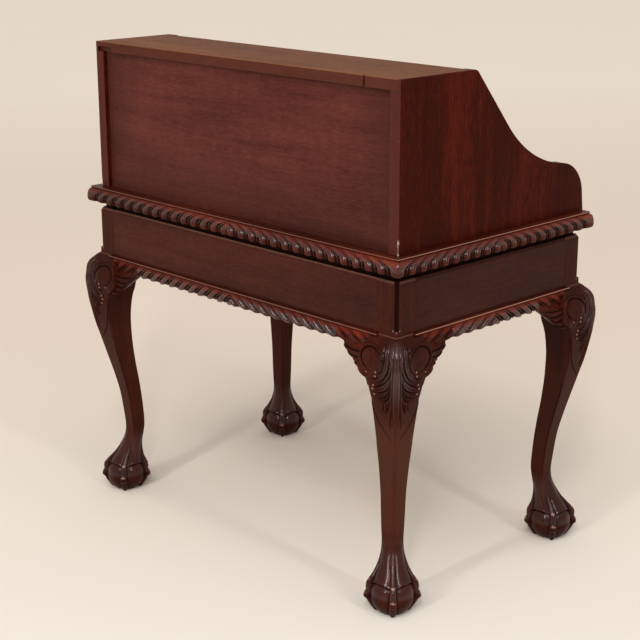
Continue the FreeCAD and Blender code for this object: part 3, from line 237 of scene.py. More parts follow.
def srgb(red, green, blue):
    """A colour written as in a picture, 0 to 255, turned into the light it stands for."""
    share = np.array((red, green, blue)) / 255
    light = np.where(share <= 0.04045, share / 12.92, ((share + 0.055) / 1.055) ** 2.4)
    return tuple(float(c) for c in light)


print("shader maths ready")

# %% [markdown]
# ## Mahogany
#
# The desk is stained, French-polished mahogany. Up close that is five layers: broad tone from the stain, a
# straight ribbon figure along the grain, short brush-like strokes in it, hair-fine dark pores, and a clear
# film that is worn dull in places. Each layer but the film is noise drawn out along the grain: few waves to
# the metre along it, tens to hundreds across. A faint mottle lies across them. A picture of wood would
# repeat and would have to be wrapped round every carving; noise in space runs through the piece as grain
# does.

# %% Wood finishes
POLISH_TINT = (1.0, 0.62, 0.52, 1.0)
ALONG = 0.06
GRAIN_ALONG = {"x": (ALONG, 1.0, 1.0), "y": (1.0, ALONG, 1.0), "z": (1.0, 1.0, ALONG)}
STAIN_WAVES, RIBBON_WAVES, STROKE_WAVES, FIBRE_WAVES, PORE_WAVES, CROSS_WAVES = 9, 62, 300, 520, 1500, 34
# The carving's near-black colour is a painted shade, partly dirt and old polish, and its pale colour is a
# painted highlight, partly wear.
PAINTED_HIGHLIGHT_AND_WEAR, PAINTED_SHADE_AND_DIRT, FLECK = srgb(166, 120, 102), srgb(18, 4, 3), srgb(170, 124, 98)


def wood(name, grain, dark, middle, light, polish=0.1, dull=0.34, figure=1.0, mottle=0.25, box=None,
         carved=False, marks=None, gloss=None):
    """Wood with its grain along one axis, its stain from dark to light, and a film of polish.

    Where a box is given, the wood is rubbed along that box's edges. Carved wood has painted shade in its
    cuts and painted highlights on its crests, partly dirt and wear, which its mesh gives as one number a
    point."""
    finish = Finish(name, Coat_Roughness=0.15, Coat_IOR=1.5, IOR=1.45, Specular_IOR_Level=0.06,
                    Specular_Tint=POLISH_TINT)
    drawn = np.array(GRAIN_ALONG[grain])
    stain = finish.noise(tuple(drawn * STAIN_WAVES + 1.2), detail=3, shift=3.1)
    ribbon = finish.noise(tuple(drawn * RIBBON_WAVES), detail=4, rough=0.6, distort=0.25)
    stroke = finish.noise(tuple(drawn**0.62 * STROKE_WAVES), detail=2, rough=0.6, shift=9.3)
    fibre = finish.noise(tuple(drawn * FIBRE_WAVES), detail=3, rough=0.7, shift=8.0)
    cross = finish.noise(tuple((1 + ALONG - drawn) * CROSS_WAVES + 9), detail=2, shift=5.5, distort=0.4)
    pores = finish.noise(tuple(drawn * PORE_WAVES + 6), detail=2, rough=0.5, shift=1.7).ramp(0.60, 0.70)
    streaks = (ribbon - 0.5) * (0.8 * figure) + (stroke - 0.5) * (0.95 * figure) + (fibre - 0.5) * 0.45
    tone = (stain - 0.5) * 1.1 + streaks + (cross - 0.5) * mottle + 0.5
    stops = [(0.0, dark), (0.48, middle), (1.0, light)]
    colour = finish.node("ShaderNodeValToRGB", {"stops": stops}, {0: tone})
    colour = finish.mixed(pores * 0.62, colour, tuple(c * 0.35 for c in dark))
    height = fibre * 0.12 - pores * 0.5
    roughness = (stain - 0.5) * 0.22 + pores * 0.22 + dull
    film = (finish.noise((7.0, 7.0, 7.0), detail=2, shift=12.0) * 0.5 + 0.75) * polish
    if box is not None:
        rub = edge_rub(finish, box)
        colour = finish.mixed(rub * 0.3, colour, tuple(c * 1.2 for c in light))
        flecks = finish.noise((210.0, 210.0, 210.0), detail=1, shift=2.0).ramp(0.70, 0.74) * rub
        colour = finish.mixed(flecks * 0.5, colour, FLECK)
        roughness = roughness + rub * 0.10
    if marks is not None:
        colour = marks(finish, colour)
    if carved:
        # Painted light: above zero a painted shade, near black in the deepest cuts and partly old polish and
        # dirt; below zero a painted highlight, partly wear.
        recess = finish.attribute("recess")
        hollow = recess.ramp(0.1, 0.95)
        colour = finish.mixed(hollow * 0.93, colour, PAINTED_SHADE_AND_DIRT)
        colour = finish.mixed((recess * -1.0).ramp(0.1, 1.0) * 0.85, colour, PAINTED_HIGHLIGHT_AND_WEAR)
        roughness = roughness + hollow * 0.3
        film = film * (1.0 - hollow)
    if gloss is not None:
        film = film * gloss(finish)
    normal = finish.bump(height, 0.00022)
    return finish.set(Base_Color=colour, Roughness=roughness, Coat_Weight=film.most(0.0), Normal=normal)


def face_gaps(finish, box):
    """The distance inwards from the nearer of a box's two faces, across x, across y and across z."""
    low, high = box
    middle, half = ((low + high) / 2).tolist(), ((high - low) / 2).tolist()
    return [reach - (axis - centre).size() for axis, centre, reach in zip(finish.axes, middle, half)]


def edge_rub(finish, box):
    """1 along the edges of a box, 0 away from them: the middle one of the three distances to its faces."""
    gaps = face_gaps(finish, box)
    nearest_two = gaps[0].least(gaps[1]).most(gaps[0].most(gaps[1]).least(gaps[2]))
    uneven = finish.noise((38.0, 38.0, 38.0), detail=3, shift=4.4) * 0.0042
    return 1.0 - (nearest_two / (uneven + 0.0003)).ramp(0.35, 1.0)


print("waves to the metre across the grain", RIBBON_WAVES, "to", PORE_WAVES)

# %% [markdown]
# ## Tones, stains and gloss
#
# The desk isn't one colour. Its frieze is a cool brown, with its side rails a painted shade darker, its
# gallery is redder, and its top is paler, partly faded and dusty and partly a painted sheen.
# Each kind of board has three tones, for its dark, its middle and its light streaks. Where the tone changes
# within one piece, as it does on a leg between its shaft, its carving and its post, soft ramps along x, y
# and z say where, and the colour is mixed or multiplied there. So a leg keeps one finish with its grain
# running through, as it does under a polisher's rag. The gloss is placed in the same way.

# %% Tones, and the stain and gloss of the carved wood
FRIEZE = dict(dark=srgb(38, 14, 11), middle=srgb(62, 27, 20), light=srgb(80, 37, 28))
# The side rails are the frieze's wood with a painted shade.
SHADED_SIDE_FRIEZE = dict(dark=srgb(30, 11, 8), middle=srgb(49, 21, 15), light=srgb(66, 30, 22))
BACK = dict(dark=srgb(54, 22, 20), middle=srgb(84, 41, 34), light=srgb(106, 55, 44))
SIDE = dict(dark=srgb(32, 6, 2), middle=srgb(54, 12, 4), light=srgb(84, 24, 8))
# The top's paler tone is partly fading and dust and partly a painted sheen.
TOP = dict(dark=srgb(80, 42, 24), middle=srgb(110, 66, 40), light=srgb(136, 88, 58))
CARVED = dict(dark=srgb(26, 8, 5), middle=srgb(50, 18, 11), light=srgb(78, 32, 20))
FITTED = dict(dark=srgb(58, 26, 19), middle=srgb(96, 46, 32), light=srgb(128, 66, 44))
PLAIN = dict(dark=srgb(96, 66, 44), middle=srgb(134, 98, 68), light=srgb(162, 126, 92))

CARVER = dict(polish=0.9, figure=0.5, mottle=0.1, carved=True)
ARRIS_X, ARRIS_Y = node_box("knee_blocks")[1][:2].tolist()
KNEE_SHINE, FOOT_SHINE = (0.46, 0.53, 0.594, 0.603), (0.036, 0.044, 0.115, 0.165)
UPPER_SHOULDERS, LOWER_SHOULDERS = (0.733, 0.741, 0.751, 0.758), (0.567, 0.572, 0.588, 0.596)
UPPER_TAILS, LOWER_TAILS = (0.745, 0.750, 0.7585, 0.7595), (0.584, 0.589, 0.5985, 0.5995)
RUN_STAIN, TAIL_STAIN, POST_STAIN = (1.56, 1.4, 1.32), (2.6, 1.85, 1.5), (1.25, 1.45, 1.5)
PALE_SHAFT = srgb(86, 45, 27)


def from_arris(finish):
    """How far inwards a place is from the arris of its leg, along x and along y added up."""
    return (ARRIS_X - finish.x.size()) + (ARRIS_Y - finish.y.size())


def leg_gloss(finish):
    """More polish on the knee's arris and on the foot, which are rubbed most, than on the rest."""
    knee = finish.z.between(*KNEE_SHINE) * (1.0 - from_arris(finish).ramp(0.024, 0.060))
    foot = finish.z.between(*FOOT_SHINE) * 0.6
    return knee.most(foot) * 0.94 + 0.06


def gadroon_gloss(finish):
    """More polish on the shoulders of the fingers than on their tails and under them."""
    return finish.z.between(*UPPER_SHOULDERS).most(finish.z.between(*LOWER_SHOULDERS)) * 0.8 + 0.2


def leg_stain(finish, colour):
    """The leg's shaft paler and browner than its carving, most on the rear left leg, the moulding's end
    beside the knee stained as the runs are, and the post stained with the frieze."""
    shaft = finish.z.between(0.13, 0.20, 0.38, 0.46)
    rear_left_leg = (finish.x * -1.0).ramp(0.2, 0.3) * finish.y.ramp(0.0, 0.1)
    colour = finish.mixed(shaft * (rear_left_leg * 0.35 + 0.12), colour, PALE_SHAFT)
    beside = from_arris(finish).ramp(0.108, 0.122) * (1.0 - finish.z.ramp(0.602, 0.603))
    colour = finish.mixed(beside * finish.z.ramp(0.562, 0.566), colour, RUN_STAIN, "MULTIPLY")
    colour = finish.mixed(beside * finish.z.between(*LOWER_TAILS) * 0.6, colour, TAIL_STAIN, "MULTIPLY")
    return finish.mixed(finish.z.ramp(0.602, 0.6035) * 0.9, colour, POST_STAIN, "MULTIPLY")


def gadroon_stain(finish, colour):
    """The swept tails above the fingers kept redder than the fingers, where the old polish is thick."""
    tails = finish.z.between(*UPPER_TAILS).most(finish.z.between(*LOWER_TAILS))
    colour = finish.mixed(1.0, colour, RUN_STAIN, "MULTIPLY")
    return finish.mixed(tails * 0.6, colour, TAIL_STAIN, "MULTIPLY")


carved_leg = wood("carved_leg", "z", gloss=leg_gloss, marks=leg_stain, **CARVER, **CARVED)
carved_long = wood("carved_long_run", "x", gloss=gadroon_gloss, marks=gadroon_stain, **CARVER, **CARVED)
carved_side = wood("carved_side_run", "y", gloss=gadroon_gloss, marks=gadroon_stain, **CARVER, **CARVED)
print("carved finishes", carved_leg.name, carved_long.name, carved_side.name)

# %% [markdown]
# ## Surfaces from numbers
#
# Every new piece is a skin over grids of points. A grid is one numpy array of rows and columns, filled by a
# formula, and neighbouring rows and columns become four-sided faces. Each grid is a closed tube: its last
# column joins its first, and its two ends are closed with one face each.

# %% Skins
def skin(name, grids, shades, finish, node):
    """One mesh from a list of closed tubes, each a grid of points (rows, columns, 3), and their shades.

    Each face joins a point, the next one in its row, and the same two in the next row."""
    corners, faces, start = [], [], 0
    for grid in grids:
        rows, columns = grid.shape[:2]
        index = np.arange(rows * columns).reshape(rows, columns) + start
        ring = np.hstack([index, index[:, :1]])
        quads = np.stack([ring[:-1, :-1], ring[:-1, 1:], ring[1:, 1:], ring[1:, :-1]], axis=-1)
        faces += [*quads.reshape(-1, 4).tolist(), index[0, ::-1].tolist(), index[-1].tolist()]
        corners.append(grid.reshape(-1, 3))
        start += rows * columns
    mesh = bpy.data.meshes.new(name)
    mesh.from_pydata(np.vstack(corners), [], faces)
    # Each point's painted shade, or below zero its painted highlight, partly dirt and wear.
    layer = mesh.attributes.new("recess", "FLOAT", "POINT")
    layer.data.foreach_set("value", np.concatenate([shade.ravel() for shade in shades]).astype(np.float32))
    mesh.validate()
    work = bmesh.new()
    work.from_mesh(mesh)
    bmesh.ops.recalc_face_normals(work, faces=work.faces)
    work.to_mesh(mesh)
    work.free()
    mesh.shade_smooth()
    return placed(name, mesh, finish, node)


def placed(name, mesh, finish, node):
    """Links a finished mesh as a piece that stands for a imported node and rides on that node's body."""
    mesh.materials.clear()
    mesh.materials.append(finish)
    piece = bpy.data.objects.new(name, mesh)
    scene.collection.objects.link(piece)
    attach(piece, body_of[node])
    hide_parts(node)
    print(name, len(mesh.polygons), "faces")
    return piece


def through(x, knots, values):
    """A smooth curve through given values: a cubic between each two knots, with their neighbours' slopes.

    With t the share of the way to the next knot, v the values and s the slopes times the knots' distance, it
    is v0 (1 + 2t)(1 - t)^2 + s0 t(1 - t)^2 + v1 (3 - 2t)t^2 - s1 (1 - t)t^2."""
    knots, values = np.array(knots, float), np.array(values, float)
    slopes = np.gradient(values, knots)
    x = np.clip(x, knots[0], knots[-1])
    place = np.clip(np.searchsorted(knots, x) - 1, 0, len(knots) - 2)
    width = knots[place + 1] - knots[place]
    t = (x - knots[place]) / width
    leaving = values[place] * (1 + 2 * t) + slopes[place] * width * t
    arriving = values[place + 1] * (3 - 2 * t) - slopes[place + 1] * width * (1 - t)
    return leaving * (1 - t) ** 2 + arriving * t**2


def soft_step(x, low, high):
    """0 below low, 1 above high, and a soft S between."""
    share = np.clip((x - low) / (high - low), 0, 1)
    return share * share * (3 - 2 * share)


def hump(x, centre, reach):
    """1 at the centre, falling as a parabola to 0 at the reach on both sides."""
    return np.clip(1 - ((x - centre) / reach) ** 2, 0, 1)


print("skins ready")

# %% [markdown]
# ## Gadroon mouldings
#
# Two carved mouldings go round the desk: a bold one at the writing surface and a smaller one under the
# frieze. Gadroons are a row of plump fingers with a thin ridge between each two. Their tails sweep up and
# over towards the middle of each run, where the pattern turns round, and one large finger takes each corner
# of the upper one. A profile is carried along the run, and at each point a groove is sunk by one minus the
# height of the finger there. Because the finger's place is shifted with height, the tails lean. This is how
# a carver works: first the plain moulding, then the cuts.

# %% The carved run
FINGER_HALF_SHARE, RIDGE_PLACE, RIDGE_HALF_SHARE, RIDGE_HEIGHT = 0.32, 0.81, 0.085, 0.55
CORNER_SHARPNESS = 0.85
RUN_STEP = 1.5


def finger_height(place):
    """Height from 0 to 1 across one finger and its ridge: the top half of a circle for each."""
    finger = hump(place, FINGER_HALF_SHARE, FINGER_HALF_SHARE) ** 0.5
    ridge = RIDGE_HEIGHT * hump(place, RIDGE_PLACE, RIDGE_HALF_SHARE) ** 0.5
    return np.maximum(finger, ridge)


def dense(profile, step):
    """The profile's corners joined by straight lines and divided to about one step."""
    profile = np.array(profile, float)
    lengths = np.hypot(*np.diff(profile, axis=0).T)
    along = np.concatenate([[0], np.cumsum(lengths)])
    count = max(int(along[-1] / step), len(profile))
    places = np.unique(np.concatenate([np.linspace(0, along[-1], count), along]))
    return np.stack([np.interp(places, along, profile[:, axis]) for axis in (0, 1)], axis=1)


def gadroon_run(outline, carve, straight, pitch, corner):
    """Points (out, along, level) and how deep in a cut each is, for one run with its middle at zero.

    The profile is carried along the straight and then round each corner by 45 degrees about a centre
    `corner` inside the case, reaching out towards the mitre's point by the corner's sharpness. The cut's
    depth is the depth for its level times one minus the finger's height."""
    out, level = outline.T
    half = np.arange(0, straight + RUN_STEP / 2, RUN_STEP)
    half = half * (straight / half[-1])
    turn = np.linspace(0, math.pi / 4, 13)[1:] if corner else np.array([])
    widest = out.max() + corner
    travel = np.concatenate([half, straight + turn * widest])
    angle = np.concatenate([half * 0, turn])
    travel = np.concatenate([-travel[:0:-1], travel])[:, None]
    angle = np.concatenate([-angle[:0:-1], angle])[:, None]
    reach = np.minimum(np.abs(travel), straight)
    lean, depth, lift = (values[None, :] for values in carve(level))
    phase = np.abs(travel) / pitch + lean
    height = finger_height(phase % 1)
    if corner:
        room = widest * math.pi / 4
        corner_finger = hump(np.abs(travel), straight + room, room + lean * pitch) ** 0.5
        height = np.where(phase < round(straight / pitch), height, corner_finger)
    sunk = 1 - height
    shown = out[None, :] - depth * sunk
    raised = level[None, :] + lift * sunk
    radius = (shown + corner) / np.cos(angle) ** CORNER_SHARPNESS
    along = np.sign(travel) * (reach + radius * np.sin(np.abs(angle)))
    outward = -corner + radius * np.cos(angle)
    return np.stack([outward, along, raised], axis=-1) * MM, sunk * (depth / depth.max()) ** 0.5


print("a finger's height at its edge and middle", *finger_height(np.array((0, FINGER_HALF_SHARE))))

# %% [markdown]
# ## The two profiles
#
# Each plain moulding is a short list of corners: how far out from the case, and how high above the floor, in
# millimetres. A fillet runs along the top, a thin dark quirk parts it from the round below, and the round is
# what gets cut. Three numbers for each height say how the cuts run there: how far they lean, how deep they
# go, and how much the wood between the fingers is lifted at the lower edge.

# %% Profiles and their cuts
EDGE_OUTLINE = dense(
    [(-4, 726.3), (-4, 761.9), (12.2, 761.9), (12.9, 761.4), (13.1, 760.6), (13.0, 758.9), (11.7, 758.3),
     (12.0, 757.4), (14.6, 756.2), (17.0, 753.2), (18.6, 749.0), (19.5, 744.0), (19.9, 739.0), (19.8, 734.0),
     (19.2, 730.5), (17.8, 727.6), (15.6, 726.3), (6, 726.3)], 1.4)
APRON_OUTLINE = dense(
    [(-6, 567.4), (-6, 602), (9.4, 602), (9.9, 601.4), (10.0, 600.6), (9.9, 598.7), (8.6, 598.1),
     (8.9, 597.2), (10.8, 595.0), (12.0, 591.0), (12.4, 586.0), (12.3, 581.0), (11.4, 575.5), (9.6, 571.2),
     (6.6, 568.2), (2.5, 567.4)], 1.3)
EDGE_DEPTH, APRON_DEPTH, APRON_LIFT = 8.5, 6.4, 3.4


def edge_cuts(level):
    """Lean, depth and lift of the cuts by level, for the upper moulding: straight below, swept above."""
    lean = 1.05 * np.clip((level - 738) / 20, 0, 1) ** 1.6
    swept = 1 - 0.62 * soft_step(level, 738, 754)
    return lean, EDGE_DEPTH * np.clip((757.8 - level) / 3, 0, 1) ** 0.7 * swept, 0 * level


def apron_cuts(level):
    """Lean, depth and lift for the lower moulding: swept all the way, and lifted between the fingers."""
    lean = 1.15 * np.clip((level - 566) / 32, 0, 1) ** 1.25
    swept = 1 - 0.55 * soft_step(level, 580, 594)
    depth = APRON_DEPTH * np.clip((597.6 - level) / 3, 0, 1) ** 0.7 * swept
    return lean, depth, APRON_LIFT * np.clip((573 - level) / 6, 0, 1)


print("profile points", len(EDGE_OUTLINE), "and", len(APRON_OUTLINE))

# %% [markdown]
# ## Eight runs
#
# The same two profiles are carried along all four sides, and each side has its own number of fingers.
# Each point also carries a shade, which the carved finish reads: a painted shade in the cuts and the quirk,
# partly old polish and dirt, and a painted highlight on the fillet's arris and the fingers' crests, partly
# wear. The ends of the lower runs, beside the legs, are kept back: they belong to the knee blocks.

# %% Eight runs
HALF_WIDTH, HALF_DEPTH = corner_mm("side_rail_right", 1)[0], corner_mm("rear_rail", 1)[1]


def onto(points, side):
    """Turns (out, along, level) into the desk's x, y and z for one of its four sides."""
    out, along, level = points[..., 0], points[..., 1], points[..., 2]
    wide, deep = HALF_WIDTH * MM + out, HALF_DEPTH * MM + out
    places = {
        "rear": (along, deep), "front": (-along, -deep), "right": (wide, -along), "left": (-wide, along)}
    x, y = places[side]
    return np.stack([x, y, level], axis=-1)


FACE_OUT = 6
# Level windows, in millimetres, for the painted highlight on the fillet's arris, the painted shade in the
# quirk, and the painted highlight on the fingers' crests.
EDGE_SHADE = ((760.2, 761.6), (757.0, 758.9), (739, 744, 750, 754))
APRON_SHADE = ((600.2, 601.8), (596.8, 598.8), (573, 577, 584, 588))


def shaded(depth, outline, worn, quirk, crest, fillet_highlight):
    """Shade for the finish: a painted shade in the cuts and a dark quirk under the fillet, partly dirt, and
    below zero a painted highlight, partly wear, on the fillet's arris and on the crests of the fingers."""
    out, level = outline.T
    face = out > FACE_OUT
    rubbed = face & (level > worn[0]) & (level < worn[1])
    dark = face & (level > quirk[0]) & (level < quirk[1])
    crests = soft_step(level, *crest[:2]) * (1 - soft_step(level, *crest[2:]))
    pale = 0.5 * np.clip(1 - depth / 0.03, 0, 1) * crests
    shade = np.where(pale > 0.05, -pale, depth * face)
    return np.where(rubbed, -fillet_highlight, np.maximum(shade, 0.8 * dark))


CORNER_CENTRE = 6.0
APRON_END, APRON_NODE_END, APRON_OVERRUN = 45.0, 155.0, 0.9
# The fourth number in each run is the strength of the painted highlight on its fillet's arris, partly wear.
LONG_RUN, SHORT_RUN = (HALF_WIDTH, 14, 13, 0.5, carved_long), (HALF_DEPTH, 9, 7, 0.8, carved_side)
RUNS = {"rear": LONG_RUN, "front": LONG_RUN, "left": SHORT_RUN, "right": SHORT_RUN}
block_grids, block_shades = [], []
for side, (half, edge_count, apron_count, fillet_highlight, finish) in RUNS.items():
    straight = half - CORNER_CENTRE
    points, depth = gadroon_run(EDGE_OUTLINE, edge_cuts, straight, straight / edge_count, CORNER_CENTRE)
    shade = shaded(depth, EDGE_OUTLINE, *EDGE_SHADE, fillet_highlight)
    skin(f"gadroon_edge_{side}", [onto(points, side)], [shade], finish, f"edge_moulding_{side}")
    straight = half - APRON_END
    points, depth = gadroon_run(APRON_OUTLINE, apron_cuts, straight, straight / apron_count, 0)
    shade = shaded(depth, APRON_OUTLINE, *APRON_SHADE, fillet_highlight)
    grid = onto(points, side)
    middle = np.abs(points[:, 0, 1] / MM) <= half - APRON_NODE_END + APRON_OVERRUN
    first, last = np.flatnonzero(middle)[[0, -1]]
    run = slice(first, last + 1)
    skin(f"gadroon_apron_{side}", [grid[run]], [shade[run]], finish, f"apron_moulding_{side}")
    block_grids += [grid[:first + 1], grid[last:]]
    block_shades += [shade[:first + 1], shade[last:]]

# %% [markdown]
# ## The carved knees
#
# Each leg bends out at the knee and in at the ankle. On the two outer faces of the knee a carver has cut a
# raised disc in a double rim, and flutes that fall from the top of the arris, curl out under the disc in
# tiers of leaves, and end in a long leaf tip. The faces are a grid of points about a millimetre and a half
# apart, and the carving is a height added to them: the disc and its rims first, then gouge cuts along drawn
# lines, then small beads. Each place is given by its distance from the arris and its level, in millimetres.

# %% Gouge cuts and the knee's relief
GOUGE_STEP = 1.3


def cut(w, z, points, width, depth):
    """A gouge cut: a hollow along a smooth line, deepest in its middle and fading at both ends."""
    points = np.array(points, float)
    order = np.arange(len(points))
    count = int(np.hypot(*np.diff(points, axis=0).T).sum() / GOUGE_STEP) + 8
    share = np.linspace(0, len(points) - 1, count)
    line_w, line_z = through(share, order, points[:, 0]), through(share, order, points[:, 1])
    gap = np.hypot(w[..., None] - line_w, z[..., None] - line_z)
    nearest = gap.argmin(axis=-1)
    distance = np.take_along_axis(gap, nearest[..., None], -1)[..., 0]
    fade = np.sin(np.pi * np.clip(nearest / (count - 1), 0.04, 0.96)) ** 0.5
    return depth * fade * hump(distance, 0, width) ** 1.5


def bead(w, z, place, radii, height):
    """A small oval boss."""
    distance = ((w - place[0]) / radii[0]) ** 2 + ((z - place[1]) / radii[1]) ** 2
    return height * np.clip(1 - distance, 0, 1) ** 0.5


DISC, DISC_RADII = (67.5, 555.0), (29.0, 22.5)
KNEE_SWEEPS = (
    [(23, 595), (30, 582), (32.3, 564), (34, 551), (38.4, 539), (45.5, 531), (53.5, 526)],
    [(14.7, 594), (18.8, 577), (20, 556), (25, 537), (34, 523), (43, 516), (51.5, 511.5)],
    [(12.5, 560), (14.5, 543), (20, 528), (29, 516.5), (40, 508), (52, 502), (61, 499)],
    [(12.5, 534), (15, 520), (20, 508), (28, 499), (37, 493), (46, 490), (57, 489)],
    [(13.5, 518), (15.5, 506), (20, 496), (27, 487.5), (35, 482), (44, 479), (53, 479)],
    [(14, 503), (15.5, 495), (18.5, 487), (22.5, 480.5), (28, 476), (34, 474), (40, 474)],
)
KNEE_CUTS = (
    ([(5, 599), (6, 584), (6.4, 567), (8, 545), (9.5, 513), (10, 482), (9, 451), (6, 424)], 2.6, -2.8),
    ([(17, 484), (18.5, 466), (22.5, 450)], 2.6, -3.2),
    ([(25, 476), (24, 460), (26, 448)], 2.6, -3.2),
    ([(34, 473), (32, 462), (34, 452)], 2.6, -3.0),
    ([(11, 470), (12.5, 446), (14, 428), (11, 412)], 2.4, -2.7),
    ([(84, 508), (77, 495), (70, 479), (61, 456), (48, 431), (33, 412), (17, 397), (5, 386)], 2.3, -2.8),
    ([(46, 528), (52, 520), (60, 517), (68, 518)], 3.0, -2.8),
    ([(54, 506), (60, 508), (66, 505)], 2.4, -2.2),
)
SMALL_BEAD = 5
KNEE_BEADS = (
    ((94.3, 524.4), (11.6, 14), 2.9), ((54, 533), (4, 4), 0.5), ((55, 524), (4, 4), 0.8),
    ((59, 504.5), (4, 4), 2.2), ((61, 496.5), (4, 4), 2.4), ((55.5, 486), (4.4, 3), 2.2),
    ((80, 528), (3.2, 3.4), 2.4),
)


def knee_relief(w, z):
    """Height in millimetres above the plain knee, and where its small beads get a painted highlight, partly
    wear, from the distance to the arris and the level."""
    ring = np.hypot((w - DISC[0]) / DISC_RADII[0], (z - DISC[1]) / DISC_RADII[1])
    around = np.arctan2(z - DISC[1], w - DISC[0])
    rim = soft_step(np.cos(around - 1.15), -0.75, -0.1)
    relief = (1.8 - 3.0 * ring**2 - 0.4 * rim) * (ring < 1.0)
    relief = relief - 3.4 * (0.25 + 0.75 * rim) * hump(ring, 1.06, 0.09)
    relief = relief + rim * 1.2 * hump(ring, 1.21, 0.09) ** 0.6
    relief = relief - rim * 2.2 * hump(ring, 1.36, 0.07)
    free = soft_step(ring, 1.02, 1.12)
    sweeps = [np.array(points) for points in KNEE_SWEEPS]
    halfway = [(first + second) / 2 for first, second in zip(sweeps, sweeps[1:])]
    cuts = [(points, 3.0, -3.6) for points in sweeps] + [(points, 2.2, -2.3) for points in halfway]
    for points, width, depth in (*cuts, *KNEE_CUTS):
        relief = np.minimum(relief, relief * 0.3 + free * cut(w, z, points, width, depth))
    # A painted highlight on the small beads, partly wear.
    worn = 0 * relief
    for place, radii, height in KNEE_BEADS:
        boss = bead(w, z, place, radii, height)
        relief = np.where(boss > 0, np.maximum(relief, boss), relief)
        worn = np.maximum(worn, soft_step(boss / height, 0.7, 0.95) * (radii[0] < SMALL_BEAD))
    stem = 1.6 * hump(w, 0, 5.5) * soft_step(z, 390, 430)
    field = soft_step(z, 380, 394) * (1 - soft_step(z, 596, 601))
    return (relief + stem) * field, worn


print("knee sweeps", len(KNEE_SWEEPS), "cuts", len(KNEE_CUTS), "beads", len(KNEE_BEADS))

# %% [markdown]
# ## The leg's section
#
# One leg is one piece of wood from the floor to the top of the frame, so it is one closed tube here. Its
# section is a square with its corner outwards; the outer and inner curves of the cabriole say where the
# square's corners are at each level. At the knee the shown face is wider than the wood behind it, so that
# its carving runs on over the knee blocks.

# %% The leg
RAIL_RISE, POST_TOP = corner_mm("rear_rail", 0)[2], corner_mm("rear_rail", 1)[2]
POST_SIDE = HALF_WIDTH - corner_mm("rear_rail", 1)[0]
KNEE_REACH = 29.4
OUTER_LEVEL_SHARES = np.array((.140, .205, .262, .346, .424, .498, .573, .664, .757, .832, .912, .977, 1))
OUTER_REACH_SHARES = np.array((-.72, -.86, -.94, -.83, -.66, -.38, -.05, .35, .70, .94, 1.0, .55, 0))
INNER_LEVEL_SHARES = np.array((.140, .183, .231, .274, .346, .449, .548, .664, .764, .827, .855, 1))
INNER_DEPTH_SHARES = np.array((1, 1.04, 1.09, 1.13, 1.11, 1.03, .92, .84, .85, .93, 1, 1))
HOOD_LEVELS = (500, 508, 514, 520, 526, 532, 540, 552, 565, 580, 588, 594, 602)
HOOD_EDGES = (55, 56.5, 60, 69, 77, 80, 81, 80, 77, 71, 66, 61, 55)
ARRIS_LEVELS, ARRIS_ROUNDS = (0, 300, 440, 560, 602), (7, 7, 6, 9, 4)
INNER_ROUND = 3.0
HIDDEN, SHOWN = 26, 78


def face_outline(level, outer, inner, hood, round_arris):
    """Half a section, from the inner corner to the arris: (rows, columns, 2), and the carving's painted
    shade and highlights.

    The shown face stands at the outer reach, falls back a little away from the arris, is rounded at both
    ends, and has the carving's height added along its own direction. The hidden sides are straight lines
    from corner to corner."""
    outer, inner, hood, round_arris = (v[:, None] for v in (outer, inner, hood, round_arris))
    fall = 0.10 * np.clip(outer, 0, None)
    end = outer - round_arris * (1 - 0.5**0.5)
    y = -hood + np.linspace(0, 1, SHOWN)[None, :] * (end + hood)
    plain = outer - fall * soft_step(-y, 10, 80)
    edge_gap = np.clip(INNER_ROUND - (y + hood), 0, INNER_ROUND)
    plain = plain - (INNER_ROUND - (INNER_ROUND**2 - edge_gap**2) ** 0.5)
    turn = np.clip(y - (outer - round_arris), 0, None)
    plain = plain - round_arris + (round_arris**2 - turn**2) ** 0.5
    relief, worn = knee_relief(end - y, level[:, None] + 0 * y)
    lean = turn / round_arris
    face = np.stack([plain + relief * (1 - lean**2) ** 0.5, y + relief * lean], axis=-1)
    back = np.minimum(4.0, outer - 1.0)
    corners = [np.concatenate([-inner, -inner], 1), np.concatenate([back, -inner], 1),
               np.concatenate([back, -hood], 1), face[:, 0]]
    legs = [np.linalg.norm(b - a, axis=1)[:, None] for a, b in zip(corners, corners[1:])]
    travel = np.linspace(0, 1, HIDDEN + 1)[None, :-1] * sum(legs)
    hidden = corners[0][:, None] + 0 * travel[..., None]
    before = 0 * legs[0]
    for a, b, length in zip(corners, corners[1:], legs):
        share = np.clip((travel - before) / np.maximum(length, 1e-6), 0, 1)
        hidden = hidden + share[..., None] * (b - a)[:, None]
        before = before + length
    # Painted shade in the cuts, partly dirt, and a painted highlight on the small beads, partly wear.
    shade = np.clip(-relief / 3.2, 0, 0.9) - 0.9 * worn
    return np.concatenate([hidden, face], axis=1), np.concatenate([0 * travel, shade], axis=1)


print("section points", 2 * (HIDDEN + SHOWN), "post side", POST_SIDE, "mm")

# %% [markdown]
# ## The foot
#
# A claw-and-ball foot is a ball held by four claws, under a bell of wood with a rolled lip. It is turned and
# carved from the leg's own end. Seen from above, each level is one closed curve about the ball's middle, so
# it is easiest to give its radius for every direction. The body's radius is the ball's below the lip, and
# the wider of ball and bell above it. A claw's radius is its reach, less a round crown that grows away from
# its middle line. The greater of the two shows, which is also how claws lie on a ball.

